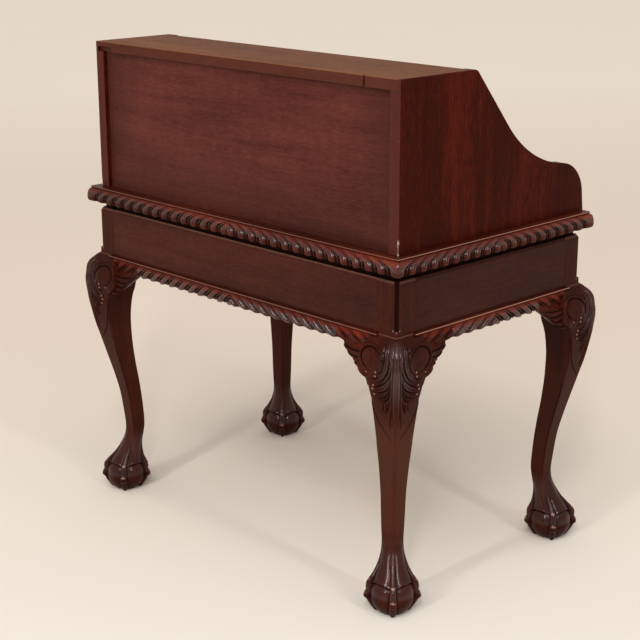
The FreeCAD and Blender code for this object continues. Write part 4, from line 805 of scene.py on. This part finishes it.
# %% The foot
FOOT_INSET, BALL_RADIUS, BALL_RISE = 27.0, 46.5, 38.5
CLAW_LEVELS = (0, 5, 10, 15, 20, 25, 27.5, 30.5, 36, 40, 43, 46.5, 52, 60.5, 68, 74, 79.5, 90, 100.5, 113,
               125, 139, 155, 170)
CLAW_REACH = (37, 40.5, 44, 47.5, 50.8, 53.2, 55.6, 59.0, 59.4, 58.6, 57.0, 54.8, 55.2, 54.6, 51.6, 47.0,
              42.9, 36.6, 31.5, 27.2, 24.6, 23.3, 22.6, 22.4)
CLAW_WIDTH = (5, 8, 9.4, 9.8, 9.8, 9.4, 9.0, 9.2, 9.6, 9.4, 9.0, 8.4, 8.2, 7.4, 6.9, 6.5, 6.2, 5.6, 4.9,
              4.2, 3.5, 2.8, 2.4, 2.4)
BELL_LEVELS = (40, 52, 60.5, 68, 74, 79.5, 90, 100.5, 113, 125, 139, 155, 170)
BELL_RADII = (41, 41.5, 41, 40, 38.2, 36, 31.6, 27.8, 24.8, 23.2, 22.4, 22.0, 22.0)
LAG_LEVELS = (60, 79, 98, 122, 150, 170)
LAG = (0, 4.0, 10.5, 17.5, 24.0, 26.0)
KNUCKLES = ((41.0, 1.2), (70.0, 2.2))


def foot_radius(turn, level):
    """The foot's radius for a direction from the leg's diagonal and a level, and its painted shade and
    highlights.

    It is the greater of the body and the claw. The body is the ball, or above the lip the wider of ball and
    bell, less a groove under the lip. The claw is its reach less its crown, which grows away from the
    claw's middle as one minus the height of a circle."""
    claw_turn = (turn + math.pi / 4) % (math.pi / 2) - math.pi / 4
    between = np.abs(claw_turn) / (math.pi / 4)
    ball = np.clip(BALL_RADIUS**2 - (level - BALL_RISE) ** 2, 1, None) ** 0.5
    lip = 60 + 9.5 * np.sin(between * math.pi / 2) ** 0.8
    bell = through(level, BELL_LEVELS, BELL_RADII)
    reach = through(level, CLAW_LEVELS, CLAW_REACH)
    width = through(level, CLAW_LEVELS, CLAW_WIDTH)
    side = np.abs(claw_turn) * reach / width
    over = soft_step(level, lip - 1.0, lip + 1.0)
    lid = 1.2 * hump(level, lip + 2.0, 2.6)
    groove = hump(level, lip - 2.0, 2.0)
    body = ball + (np.maximum(bell, ball) + lid - ball) * over - 1.8 * groove
    hard = 1 - soft_step(level, 60, 78)
    crown = (1 - hump(side, 0, 1) ** 0.5) * (5.5 + 3.5 * hard)
    claw = reach - crown * np.minimum(1, reach / 40) - (10 + 20 * hard) * np.clip(side - 1, 0, None)
    radius = np.maximum(body, claw)
    # Painted shade in the groove under the lip and beside the claws' ridges, partly dirt, and a painted
    # highlight on the knuckles and the crest, partly wear.
    beside = np.clip(1 - np.abs(side - 1.2) / 0.42, 0, 1) * (1 - soft_step(level, 96, 122))
    joints = [np.clip(1.4 - np.abs(level - knuckle) / wide, 0, 1) for knuckle, wide in KNUCKLES]
    crest = soft_step(level, 72, 78) * (1 - soft_step(level, 100, 124)) * np.clip(1.2 - side * 1.6, 0, 1)
    worn = sum(joints) * np.clip(1.5 - side * 1.5, 0, 1) + 0.3 * crest
    return radius, np.clip(groove * 0.9 * (body >= claw) + beside * 0.9, 0, 1) - 0.9 * worn


print("ball", 2 * BALL_RADIUS, "mm across,", len(CLAW_LEVELS), "levels on a claw")

# %% [markdown]
# ## The post
#
# Above the knee the leg goes on as a plain square post between the rails. Its outer corner is worked into a
# long hollow, with three tiny leaves at its foot, and its top has the same slanted lip and rebate as the
# rails beside it. The hollow is part of a circle about the corner, taken off both faces. The hollow and the
# rebate get a painted shade, and the lip and the leaves a painted highlight.

# %% The post
HOLLOW_RADIUS, HOLLOW_LOW, POST_BACK = 7.8, 618.0, 0.3
LIP_LOW, LIP_HIGH, LIP_INSET = 706.0, 711.5, 5.0


def post_outline(level):
    """The square post above the knee, its arris worked into a hollow that begins a little above the knee,
    and its painted shade and highlights.
    """
    hollow = soft_step(level, HOLLOW_LOW - 5, HOLLOW_LOW)
    inset = lip_inset(level)[:, None]
    end = -POST_BACK - hollow * (HOLLOW_RADIUS * 0.5**0.5 - POST_BACK)
    y = -POST_SIDE + np.linspace(0, 1, SHOWN)[None, :] * (end[:, None] - inset + POST_SIDE)
    dip = np.clip(HOLLOW_RADIUS**2 - (y + inset) ** 2, 0, None) ** 0.5 * hollow[:, None]
    soft = np.clip(y + 1.0, 0, None) * 0.43 * (1 - hollow[:, None])
    leaves = hollow_leaves(-y, level[:, None] + 0 * y)
    face = np.stack([-dip - soft + leaves - POST_BACK - inset, y], axis=-1)
    face[:, -1, 0] = face[:, -1, 1]
    behind = np.linspace(0, 1, HIDDEN + 1)[:-1] * POST_SIDE - POST_SIDE
    hidden = np.stack([behind, np.full(HIDDEN, -POST_SIDE)], axis=-1)
    half = np.concatenate([np.broadcast_to(hidden, (len(level), HIDDEN, 2)), face], axis=1)
    # Painted shade in the rebate and the hollow, and a painted highlight on the lip and the tiny leaves,
    # partly wear.
    lip = (1.0 * (level > LIP_HIGH) - 0.4 * (level > LIP_LOW) * (level <= LIP_HIGH))[:, None]
    shown = np.clip(dip / 1.6, 0, 1) + lip - leaves * 3.2
    return half, np.concatenate([np.zeros((len(level), HIDDEN)), shown], axis=1)


def lip_inset(level):
    """How far the frieze's face stands back: nothing, then a slanted lip at its top, then a dark rebate."""
    slant = np.clip((level - LIP_LOW) / (LIP_HIGH - LIP_LOW), 0, 1)
    return 0.75 * LIP_INSET * slant + LIP_INSET * (level > LIP_HIGH)


def hollow_leaves(w, z):
    """Three tiny leaves cut at the foot of the post's hollow, as height in millimetres."""
    side = np.clip(1 - ((w - 9.5 - (z - 613.5) * 0.4) / 1.5) ** 2 - ((z - 613.5) / 2.8) ** 2, 0, 1)
    middle = hump(np.hypot(w, z - 611.5), 0, 2.2)
    return 0.3 * np.maximum(side, middle) ** 0.5


print("hollow from", HOLLOW_LOW, "to", POST_TOP, "mm")

# %% [markdown]
# ## Four legs
#
# One half of a leg's sections is worked out in its corner's own axes, from the floor to the top: the foot, a
# stretch where the foot's round section passes into the shaft's square one, the knee and the post. The
# other half is its mirror image across the leg's diagonal, and the four legs are the same leg turned
# about.

# %% Four legs
def leg_points():
    """Half of one leg's sections in its corner's own axes, their levels, and its painted shade and
    highlights.

    Below 112 mm a section is the foot's, above 168 mm the leg's, and between them a soft mix of both."""
    low = np.arange(0, 150, 1.6)
    shaft = np.arange(150, 376, 5.2)
    knee = np.concatenate([np.linspace(376, RAIL_RISE - 1.2, 160), [RAIL_RISE - 0.5, RAIL_RISE]])
    post = np.array([RAIL_RISE, 603.5, 604.5, *np.arange(605, 626, 1.0), 640, 700, 705.4, LIP_LOW, 707.5,
                     709, 710.5, LIP_HIGH, 711.8, 718.8, POST_TOP])
    level = np.concatenate([low, shaft, knee])
    outer = through(level, RAIL_RISE * OUTER_LEVEL_SHARES, KNEE_REACH * OUTER_REACH_SHARES)
    outer = outer + 1.6 * soft_step(level, 592, 600)
    inner = through(level, RAIL_RISE * INNER_LEVEL_SHARES, POST_SIDE * INNER_DEPTH_SHARES)
    hood = np.maximum(inner, np.where(level > 500, through(level, HOOD_LEVELS, HOOD_EDGES), 0))
    arris = through(level, ARRIS_LEVELS, ARRIS_ROUNDS)
    half, carving = face_outline(level, outer, inner, hood, arris)
    turn_behind = np.linspace(math.pi, math.pi / 2, HIDDEN + 1)[:-1]
    turn = np.concatenate([turn_behind, np.linspace(math.pi / 2, 0, SHOWN)])
    radius, shade = foot_radius(turn[None, :] + 0 * level[:, None], level[:, None] + 0 * turn[None, :])
    heading = math.pi / 4 - turn
    middle = -FOOT_INSET - through(level, LAG_LEVELS, LAG) * 0.5**0.5
    foot = middle[:, None, None] + radius[..., None] * np.stack([np.cos(heading), np.sin(heading)], axis=-1)
    share = 1 - soft_step(level, 112, 168)[:, None]
    half = half + (foot - half) * share[..., None]
    # A painted highlight along the knee's top ledge, partly wear.
    ledge_highlight = -0.36 * soft_step(level, 598.5, 600.5)[:, None]
    shade = shade * share + (carving + ledge_highlight) * (1 - share)
    post_half, post_shade = post_outline(post)
    return [np.concatenate(pair) for pair in ((half, post_half), (level, post), (shade, post_shade))]


half, level, shade = leg_points()
whole = np.concatenate([half, half[:, -2:0:-1, ::-1]], axis=1)
leg_shade = np.concatenate([shade, shade[:, -2:0:-1]], axis=1)
leg_grid = np.concatenate([whole, np.broadcast_to(level[:, None, None], (*whole.shape[:2], 1))], axis=-1)
CORNERS = {"rear_left": (-1, 1), "rear_right": (1, 1), "front_left": (-1, -1), "front_right": (1, -1)}


def at_corner(points, side, end):
    """Carries points from a corner's own axes to that corner of the desk, in metres."""
    x, y = side * (HALF_WIDTH + points[..., 0]), end * (HALF_DEPTH + points[..., 1])
    return np.stack([x, y, points[..., 2]], axis=-1) * MM


for name, (side, end) in CORNERS.items():
    node = "leg_" + name
    skin("carved_" + node, [at_corner(leg_grid, side, end)], [leg_shade], carved_leg, node)

# %% [markdown]
# ## Knee blocks
#
# Beside each knee a small block carries the curve of the leg into the rail. It is carved as a leaf that
# springs from behind the knee's rim, under the end of the gadroon moulding, which dies into the knee. The
# leaf is a tube of changing section: its face hangs down to a scalloped edge and its back is flat.

# %% Knee blocks and the ends of the lower moulding
EAR_PLACES = (50, 60, 72, 80, 88, 98, 106, 115, 124, 131, 137, 142)
EAR_EDGES = (506, 508, 511, 515, 522, 527.5, 537, 541.5, 549, 554, 562, 569)
EAR_DEPTH_PLACES, EAR_DEPTHS, TUCKED_DEPTH = (50, 70, 90, 110, 130, 142), (21, 20, 18, 15.5, 13.0, 9.5), 6.5
BLOCK_TOP, BLOCK_BACK = 600, -14.0
EAR_CUTS = (
    ([(60, 562), (88, 559), (112, 559), (135, 564)], 3.0, -3.4),
    ([(60, 553), (86, 547), (106, 546), (123, 552)], 3.0, -3.4),
    ([(60, 543), (82, 535), (98, 534), (109, 540)], 3.0, -3.4),
    ([(60, 532), (76, 522), (88, 522), (96, 529)], 2.8, -3.2),
    ([(118, 556), (126, 552), (130, 557)], 2.4, -2.4),
    ([(100, 543), (110, 540), (114, 545)], 2.4, -2.4),
)


def ear_points():
    """The leaf beside a knee: rows along the rail, columns down its front and up its back.

    Its depth falls away from the knee, is tucked back under the moulding, is rounded off towards the
    scalloped edge, and loses the gouge cuts."""
    place = np.arange(50, 142.1, 1.5)[:, None]
    edge = through(place, EAR_PLACES, EAR_EDGES)
    share = np.linspace(0, 1, 56)[None, :]
    level = BLOCK_TOP + (edge - BLOCK_TOP) * share
    plain = through(place, EAR_DEPTH_PLACES, EAR_DEPTHS)
    out = plain + (TUCKED_DEPTH - plain) * soft_step(level, 559, 568)
    gap = np.clip(1 - (level - edge) / 7.0, 0, 1)
    out = out - 6 * (1 - (1 - gap**2) ** 0.5)
    relief = 0 * out
    for points, width, depth in EAR_CUTS:
        relief = np.minimum(relief, cut(place + 0 * level, level, points, width, depth))
    out = out + relief
    rear_level = np.linspace(0, 1, 9)[None, 1:] * (BLOCK_TOP - edge) + edge
    rear = np.stack([0 * rear_level + BLOCK_BACK, rear_level], axis=-1)
    ring = np.concatenate([np.stack([out, level], axis=-1), rear], axis=1)
    # Painted shade in the leaf's gouge cuts, partly dirt.
    shade = np.concatenate([np.clip(-relief / 3.0, 0, 1), 0 * rear_level], axis=1)
    along = np.broadcast_to(-place[:, :, None], (*ring.shape[:2], 1))
    return np.concatenate([ring[..., :1], along, ring[..., 1:]], axis=-1), shade


ear, ear_shade = ear_points()
for side, end in CORNERS.values():
    block_grids += [at_corner(ear, side, end), at_corner(ear[..., (1, 0, 2)], side, end)]
    block_shades += [ear_shade, ear_shade]
skin("carved_knee_blocks", block_grids, block_shades, carved_leg, "knee_blocks")

# %% [markdown]
# ## Boards
#
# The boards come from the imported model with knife-sharp edges, and a real edge is never sharp: it is eased
# by plane and sandpaper and catches a thin line of light. A copy of each board has its loose triangles
# joined at their corners, and a Bevel modifier eases every sharp edge by about a millimetre. The copy stands
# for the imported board, which stays as it is.

# %% Softened boards
def softened(node, finish, width=0.0009, angle=28, flat=False):
    """A copy of a packed board with its edges eased, in place of the board.

    Work made of several flat boards is shaded flat, because where two boards touch they share corners, and
    a normal that is smoothed over a shared corner points the wrong way."""
    mesh = nodes[node].data.copy()
    mesh.name = node + "_eased"
    work = bmesh.new()
    work.from_mesh(mesh)
    bmesh.ops.remove_doubles(work, verts=work.verts, dist=2e-6)
    work.to_mesh(mesh)
    work.free()
    if "custom_normal" in mesh.attributes:
        mesh.attributes.remove(mesh.attributes["custom_normal"])
    if flat:
        mesh.shade_flat()
    else:
        mesh.shade_smooth()
    eased_edges(placed(node + "_eased", mesh, finish, node), width, angle, not flat)


def eased_edges(piece, width, angle, harden=True):
    """Rounds every edge sharper than the angle. Hardened, it keeps flat faces flat to the light."""
    ease = piece.modifiers.new("eased_edges", "BEVEL")
    ease.width, ease.segments, ease.limit_method, ease.angle_limit = width, 2, "ANGLE", math.radians(angle)
    ease.harden_normals = harden


print("packed nodes", len(nodes))

# %% [markdown]
# ## Frieze rails
#
# The three plain sides of the frieze have a narrow slanted lip along the top, with a painted highlight, and
# a rebate above it, with a painted shade. A bevel can't make that, so each rail is made anew from its own
# packed box, as a bar with one section.

# %% Frieze rails
def rail(node, along, face, finish):
    """A frieze rail with a slanted lip along its top and a rebate above it, as one closed bar.

    `along` is the axis the rail runs on and `face` the side, -1 or 1, that it shows."""
    low, high = (corner / MM for corner in node_box(node))
    run, deep = (0, 1) if along == "x" else (1, 0)
    outer, inner = (high[deep], low[deep]) if face > 0 else (low[deep], high[deep])
    level = np.array((low[2], low[2], LIP_LOW, LIP_HIGH, LIP_HIGH + 0.1, high[2], high[2]))
    depth = np.array((inner, *(outer - face * lip_inset(level[1:-1])), inner))
    points = np.zeros((2, len(level), 3))
    points[..., 2], points[..., deep] = level, depth
    points[..., run] = np.array((low[run], high[run]))[:, None]
    # A painted highlight on the lip, stronger on the rear rail than on the sides, and a near-black painted
    # shade in the rebate.
    rubbed = 0.6 if along == "x" else 0.25
    shade = np.array([0, 0, -0.1, -rubbed, 1, 1, 1.0]) + 0 * points[..., 0]
    bar = skin(node + "_lipped", [points * MM], [shade], finish, node)
    eased_edges(bar, 0.0008, 20)


SEAM_PLACE, SEAM_HALF, SEAM_TOP = 0.019, 0.0011, 0.690


def frieze_seam(finish, colour):
    """A faint upright joint in the rear frieze, near its middle."""
    line = 1.0 - ((finish.x - SEAM_PLACE).size() / SEAM_HALF).ramp(0.3, 1.0)
    return finish.mixed(line * (SEAM_TOP - finish.z).ramp(0.0, 0.03) * 0.55, colour, srgb(26, 15, 13))


FRIEZE_RAILS = (
    ("rear_rail", "x", 1, FRIEZE, frieze_seam),
    ("side_rail_left", "y", -1, SHADED_SIDE_FRIEZE, None),
    ("side_rail_right", "y", 1, SHADED_SIDE_FRIEZE, None),
)
for node, along, face, tones, marks in FRIEZE_RAILS:
    finish = wood("wood_" + node, along, dull=0.36, figure=0.8, carved=True, marks=marks, **tones)
    rail(node, along, face, finish)
print("lipped rails", *(node for node, *_ in FRIEZE_RAILS))

# %% [markdown]
# ## Every board
#
# Each board has its own grain direction, tones, polish and figure, and its finish is named for it. The
# gallery's boards also have marks in places of their own: pale flecks on a rear arris, a border on the back
# that is darker towards its ends and its foot, and a dark rim round the top, whose face is painted paler,
# partly faded and partly a painted sheen. The drawers' insides are of a plain pale wood.

# %% Every board
SIDE_FACE, SIDE_REAR, _ = node_box("side_panel_right")[1].tolist()
BACK_HALF, BACK_FOOT = node_box("gallery_back")[1].tolist()[0], node_box("gallery_back")[0].tolist()[2]
FLECK_TOP, BORDER_REACH = 0.795, 0.15


def worn_arris(finish, colour):
    """A side board's rear edge, in the back's tone, and pale worn flecks low down on its arris, where
    chairs and brooms knock it."""
    gap = (finish.y - SIDE_REAR).size() + (finish.x.size() - SIDE_FACE).size()
    patch = (0.0032 - gap).ramp(0.0, 0.0022) * (FLECK_TOP - finish.z).ramp(0.0, 0.008)
    broken = finish.noise((160.0, 160.0, 60.0), detail=3, shift=6.0).ramp(0.38, 0.50)
    colour = finish.mixed(finish.y.ramp(0.2826, 0.2836) * 0.65, colour, srgb(86, 46, 42))
    return finish.mixed(patch * broken * 0.9, colour, srgb(196, 168, 142))


def dark_rim(finish, colour):
    """The edges of the gallery's top board, darker than its top face, which is painted paler: partly fading
    and dust, partly a painted sheen.
    """
    return finish.mixed((1.0 - finish.z.ramp(1.0962, 1.0976)) * 0.85, colour, srgb(72, 34, 30))


def darker_back_border(finish, colour):
    """A broad border on the gallery's back, darker towards its ends and its foot."""
    gap = (BACK_HALF - finish.x.size()).least(finish.z - BACK_FOOT)
    return finish.mixed((1.0 - gap.ramp(0.0, BORDER_REACH)) * 0.5, colour, srgb(52, 27, 24))


FITTINGS, INSIDE = "mahogany_fittings", "inside_wood"
DRAWER_PLACES = ("centre", "left", "right")
JOINED_WORK = ("gallery_partitions", "gallery_shelves", "cupboard_door", "drawer_dividers", "top_bearers")
PLACE_MARKS = {"mahogany_side": worn_arris, "mahogany_back": darker_back_border, "mahogany_top": dark_rim}
SMALL_PLACES = [f"{side}_{row}" for side in ("left", "right") for row in ("lower", "upper")]
SMALL_DRAWERS = ["small_drawer_" + place for place in SMALL_PLACES]
BOARDS = (
    (("front_top_rail", "front_bottom_rail"), "x", FRIEZE, 0.10, 0.34, 0.8, "mahogany_frieze"),
    ([place + "_drawer_front" for place in DRAWER_PLACES], "x", FITTED, 0.15, 0.30, 1.3, "mahogany_frieze"),
    (("side_panel_left", "side_panel_right"), "z", SIDE, 0.01, 0.40, 1.0, "mahogany_side"),
    (("gallery_back",), "x", BACK, 0.05, 0.40, 0.8, "mahogany_back"),
    (("gallery_top",), "x", TOP, 0.02, 0.52, 0.8, "mahogany_top"),
    (("table_top",), "x", FRIEZE, 0.06, 0.36, 1.0, FITTINGS),
    (("gallery_partitions",), "z", FITTED, 0.08, 0.40, 1.0, FITTINGS),
    (("gallery_shelves",), "x", FITTED, 0.08, 0.40, 1.0, FITTINGS),
    (("wing_panels",), "y", FITTED, 0.12, 0.33, 1.1, FITTINGS),
    (("cupboard_door",), "z", FITTED, 0.15, 0.30, 1.4, FITTINGS),
    (("lid_left", "lid_right"), "y", FITTED, 0.12, 0.33, 1.2, FITTINGS),
    (SMALL_DRAWERS, "x", FITTED, 0.12, 0.34, 1.2, FITTINGS),
    (("drawer_dividers",), "z", FRIEZE, 0.08, 0.40, 0.8, INSIDE),
    (("top_bearers",), "x", FRIEZE, 0.02, 0.50, 0.8, INSIDE),
)
for names, grain, tones, polish, dull, figure, slot_name in BOARDS:
    for node in names:
        box = None if node == "table_top" else node_box(node)
        finish = wood("wood_" + node, grain, polish=polish, dull=dull, figure=figure, box=box,
                      marks=PLACE_MARKS.get(slot_name), **tones)
        softened(node, finish, flat=node in (*JOINED_WORK, *SMALL_DRAWERS))

inside = wood("plain_wood", "y", polish=0.0, dull=0.6, figure=0.8, **PLAIN)
for node in ("drawer_runners", "corner_blocks", *(place + "_drawer_box" for place in DRAWER_PLACES)):
    softened(node, inside, width=0.0006, flat=True)
print("boards", sum(len(names) for names, *_ in BOARDS))

# %% [markdown]
# ## Leather, brass and steel
#
# The writing surface is set with green leather, with two gilt lines tooled round its edge. Brass on an old
# desk is warm and a little uneven, bright in some places and brown in others, and the screws are dull
# steel. All three are noise on a base colour, and the gilt lines are found from the distance to the
# leather's edge.

# %% Leather, brass and steel
GILT_LINES = ((0.022, 0.0009), (0.030, 0.0004))


def leather_finish(box):
    """Green leather with a fine pebbled grain and two gilt lines round its border."""
    finish = Finish("writing_leather", Specular_IOR_Level=0.4, Coat_Roughness=0.3)
    across, along, _ = face_gaps(finish, box)
    edge = across.least(along)
    pebble = finish.node("ShaderNodeTexVoronoi", {"feature": "F1"}, {"Vector": finish.place, "Scale": 620.0})
    cloud = finish.noise((6.0, 6.0, 6.0), detail=4)
    colour = finish.mixed(cloud.ramp(0.3, 0.75), srgb(22, 42, 30), srgb(44, 68, 46))
    colour = finish.mixed(pebble.ramp(0.25, 0.7) * 0.35, colour, srgb(14, 26, 19))
    broad, fine = (1.0 - ((edge - place).size() - half).ramp(0.0, 0.0005) for place, half in GILT_LINES)
    lines = broad.most(fine)
    worn = lines * finish.noise((90.0, 90.0, 90.0), detail=2, shift=3.0).ramp(0.36, 0.5)
    colour = finish.mixed(worn, colour, srgb(190, 150, 84))
    normal = finish.bump(pebble * -0.5 - lines * 0.6, 0.0002)
    return finish.set(Base_Color=colour, Roughness=0.46 + cloud * 0.16 - worn * 0.12, Metallic=worn * 0.85,
                      Normal=normal)


def brass_finish():
    """Aged brass: rubbed bright and browned in soft clouds, with fine scratches."""
    finish = Finish("aged_brass", IOR=1.5)
    cloud = finish.noise((70.0, 70.0, 70.0), detail=4)
    fine = finish.noise((900.0, 900.0, 240.0), detail=2, shift=2.0)
    colour = finish.mixed(cloud.ramp(0.34, 0.66), srgb(120, 84, 40), srgb(200, 158, 84))
    return finish.set(Base_Color=colour, Roughness=0.24 + cloud * 0.2 + fine * 0.08,
                      Metallic=1.0 - cloud * 0.06, Normal=finish.bump(fine, 0.00004))


def steel_finish():
    """Screw steel, turned and a little rusty."""
    finish = Finish("screw_steel", IOR=1.5)
    cloud = finish.noise((160.0, 160.0, 160.0), detail=3)
    colour = finish.mixed(cloud.ramp(0.55, 0.75), srgb(122, 118, 112), srgb(92, 62, 44))
    return finish.set(Base_Color=colour, Roughness=0.38 + cloud * 0.3,
                      Metallic=1.0 - cloud.ramp(0.6, 0.8) * 0.7, Normal=finish.bump(cloud, 0.00006))


leather = leather_finish(node_box("writing_leather"))
softened("writing_leather", leather, width=0.0002)
brass = brass_finish()
BRASSES = ("hinge_leaves", *(place + "_drawer_plates" for place in DRAWER_PLACES), "centre_bail_left",
           "centre_bail_right", "left_bail", "right_bail", "door_brasses", "lid_brasses_left",
           "lid_brasses_right", *("small_knob_" + place for place in SMALL_PLACES))
for node in BRASSES:
    softened(node, brass, width=0.00025, angle=40)
steel = steel_finish()
for slot_of in nodes["top_screws"].material_slots:
    slot_of.material = steel
print("brass pieces", len(BRASSES))

# %% [markdown]
# ## Floor
#
# The desk stands on a seamless warm cream floor that runs back beyond the frame, as in a photographer's
# studio. It is one large flat face whose colour changes slowly from place to place: a painted shade beyond
# the desk and paler painted light far behind it.

# %% Floor
def floor_finish():
    """Matt cream paper with painted light: a warmer painted shade beyond the desk, paler painted light far
    behind it, and a shade uneven.
    """
    finish = Finish("studio_floor", Specular_IOR_Level=0.05)
    cloud = finish.noise((0.7, 0.7, 0.7), detail=2)
    away = finish.x * 0.72 - finish.y * 0.69
    # Painted light: a painted shade just beyond the desk, and paler painted light far away, where the lamps'
    # light falls off.
    colour = finish.mixed(away.ramp(-1.2, 1.6), srgb(228, 222, 213), srgb(231, 216, 201))
    colour = finish.mixed(away.ramp(2.6, 8.0), colour, srgb(249, 237, 221))
    colour = finish.mixed(cloud * 0.2, colour, srgb(232, 219, 204))
    return finish.set(Base_Color=colour, Roughness=0.85 + cloud * 0.1)


FLOOR_REACH = 45.0
corners = np.array([(-1, -1, 0), (1, -1, 0), (1, 1, 0), (-1, 1, 0)]) * FLOOR_REACH
floor_mesh = bpy.data.meshes.new("studio_floor")
floor_mesh.from_pydata(corners, [], [(0, 1, 2, 3)])
floor_mesh.materials.append(floor_finish())
floor = bpy.data.objects.new("studio_floor", floor_mesh)
scene.collection.objects.link(floor)
print("floor", 2 * FLOOR_REACH, "metres wide")

# %% [markdown]
# ## Light
#
# Three tall narrow lamps give the polished carving its thin bright streaks. Two broad, soft suns from the
# camera's side light the boards and throw a faint shadow, and the pale surroundings fill the rest. The
# streaks and the general light are kept apart because a glossy finger shows the shape of a lamp, while a
# dull board shows only how much light there is.

# %% Lamps and surroundings
def toward(heading, height):
    """The direction to a light from its compass angle and its height, in degrees."""
    a, e = math.radians(heading), math.radians(height)
    return Vector((math.sin(a) * math.cos(e), -math.cos(a) * math.cos(e), math.sin(e)))


STRIP_WIDTH, STRIP_HEIGHT, STRIP_DISTANCE = 0.22, 2.4, 5.0
STRIP_AIM = Vector((-0.2, 0.1, 0.6))


def strip_lamp(name, heading, height, power, colour):
    """A tall narrow soft box some metres from the desk, turned to face it."""
    data = bpy.data.lights.new(name, "AREA")
    data.shape, data.size, data.size_y = "RECTANGLE", STRIP_WIDTH, STRIP_HEIGHT
    data.energy, data.color = power, colour
    made = bpy.data.objects.new(name, data)
    made.location = STRIP_AIM + STRIP_DISTANCE * toward(heading, height)
    made.rotation_euler = toward(heading, height).to_track_quat("Z", "Y").to_euler()
    scene.collection.objects.link(made)


def sun(name, heading, height, strength, spread, colour):
    """Even light from one direction, given by its compass angle and its height, with a soft edge."""
    data = bpy.data.lights.new(name, "SUN")
    data.energy, data.angle, data.color = strength, math.radians(spread), colour
    made = bpy.data.objects.new(name, data)
    made.rotation_euler = toward(heading, height).to_track_quat("Z", "Y").to_euler()
    scene.collection.objects.link(made)


strip_lamp("rear_strip", 186, 28, 62, (1.0, 0.98, 0.96))
strip_lamp("middle_strip", 220, 36, 60, (1.0, 0.98, 0.96))
strip_lamp("side_strip", 264, 28, 42, (1.0, 0.975, 0.95))
sun("window", 205, 50, 0.5, 24, (1.0, 0.985, 0.965))
sun("skylight", 226, 68, 0.7, 60, (1.0, 0.99, 0.98))

SURROUND_STRENGTH = 0.56
world = bpy.data.worlds.new("studio")
world.use_nodes = True
surround = world.node_tree.nodes["Background"]
surround.inputs["Color"].default_value = (*srgb(244, 240, 235), 1.0)
surround.inputs["Strength"].default_value = SURROUND_STRENGTH
scene.world = world
scene.view_settings.view_transform = "Standard"
print("lamps", len(bpy.data.lights))
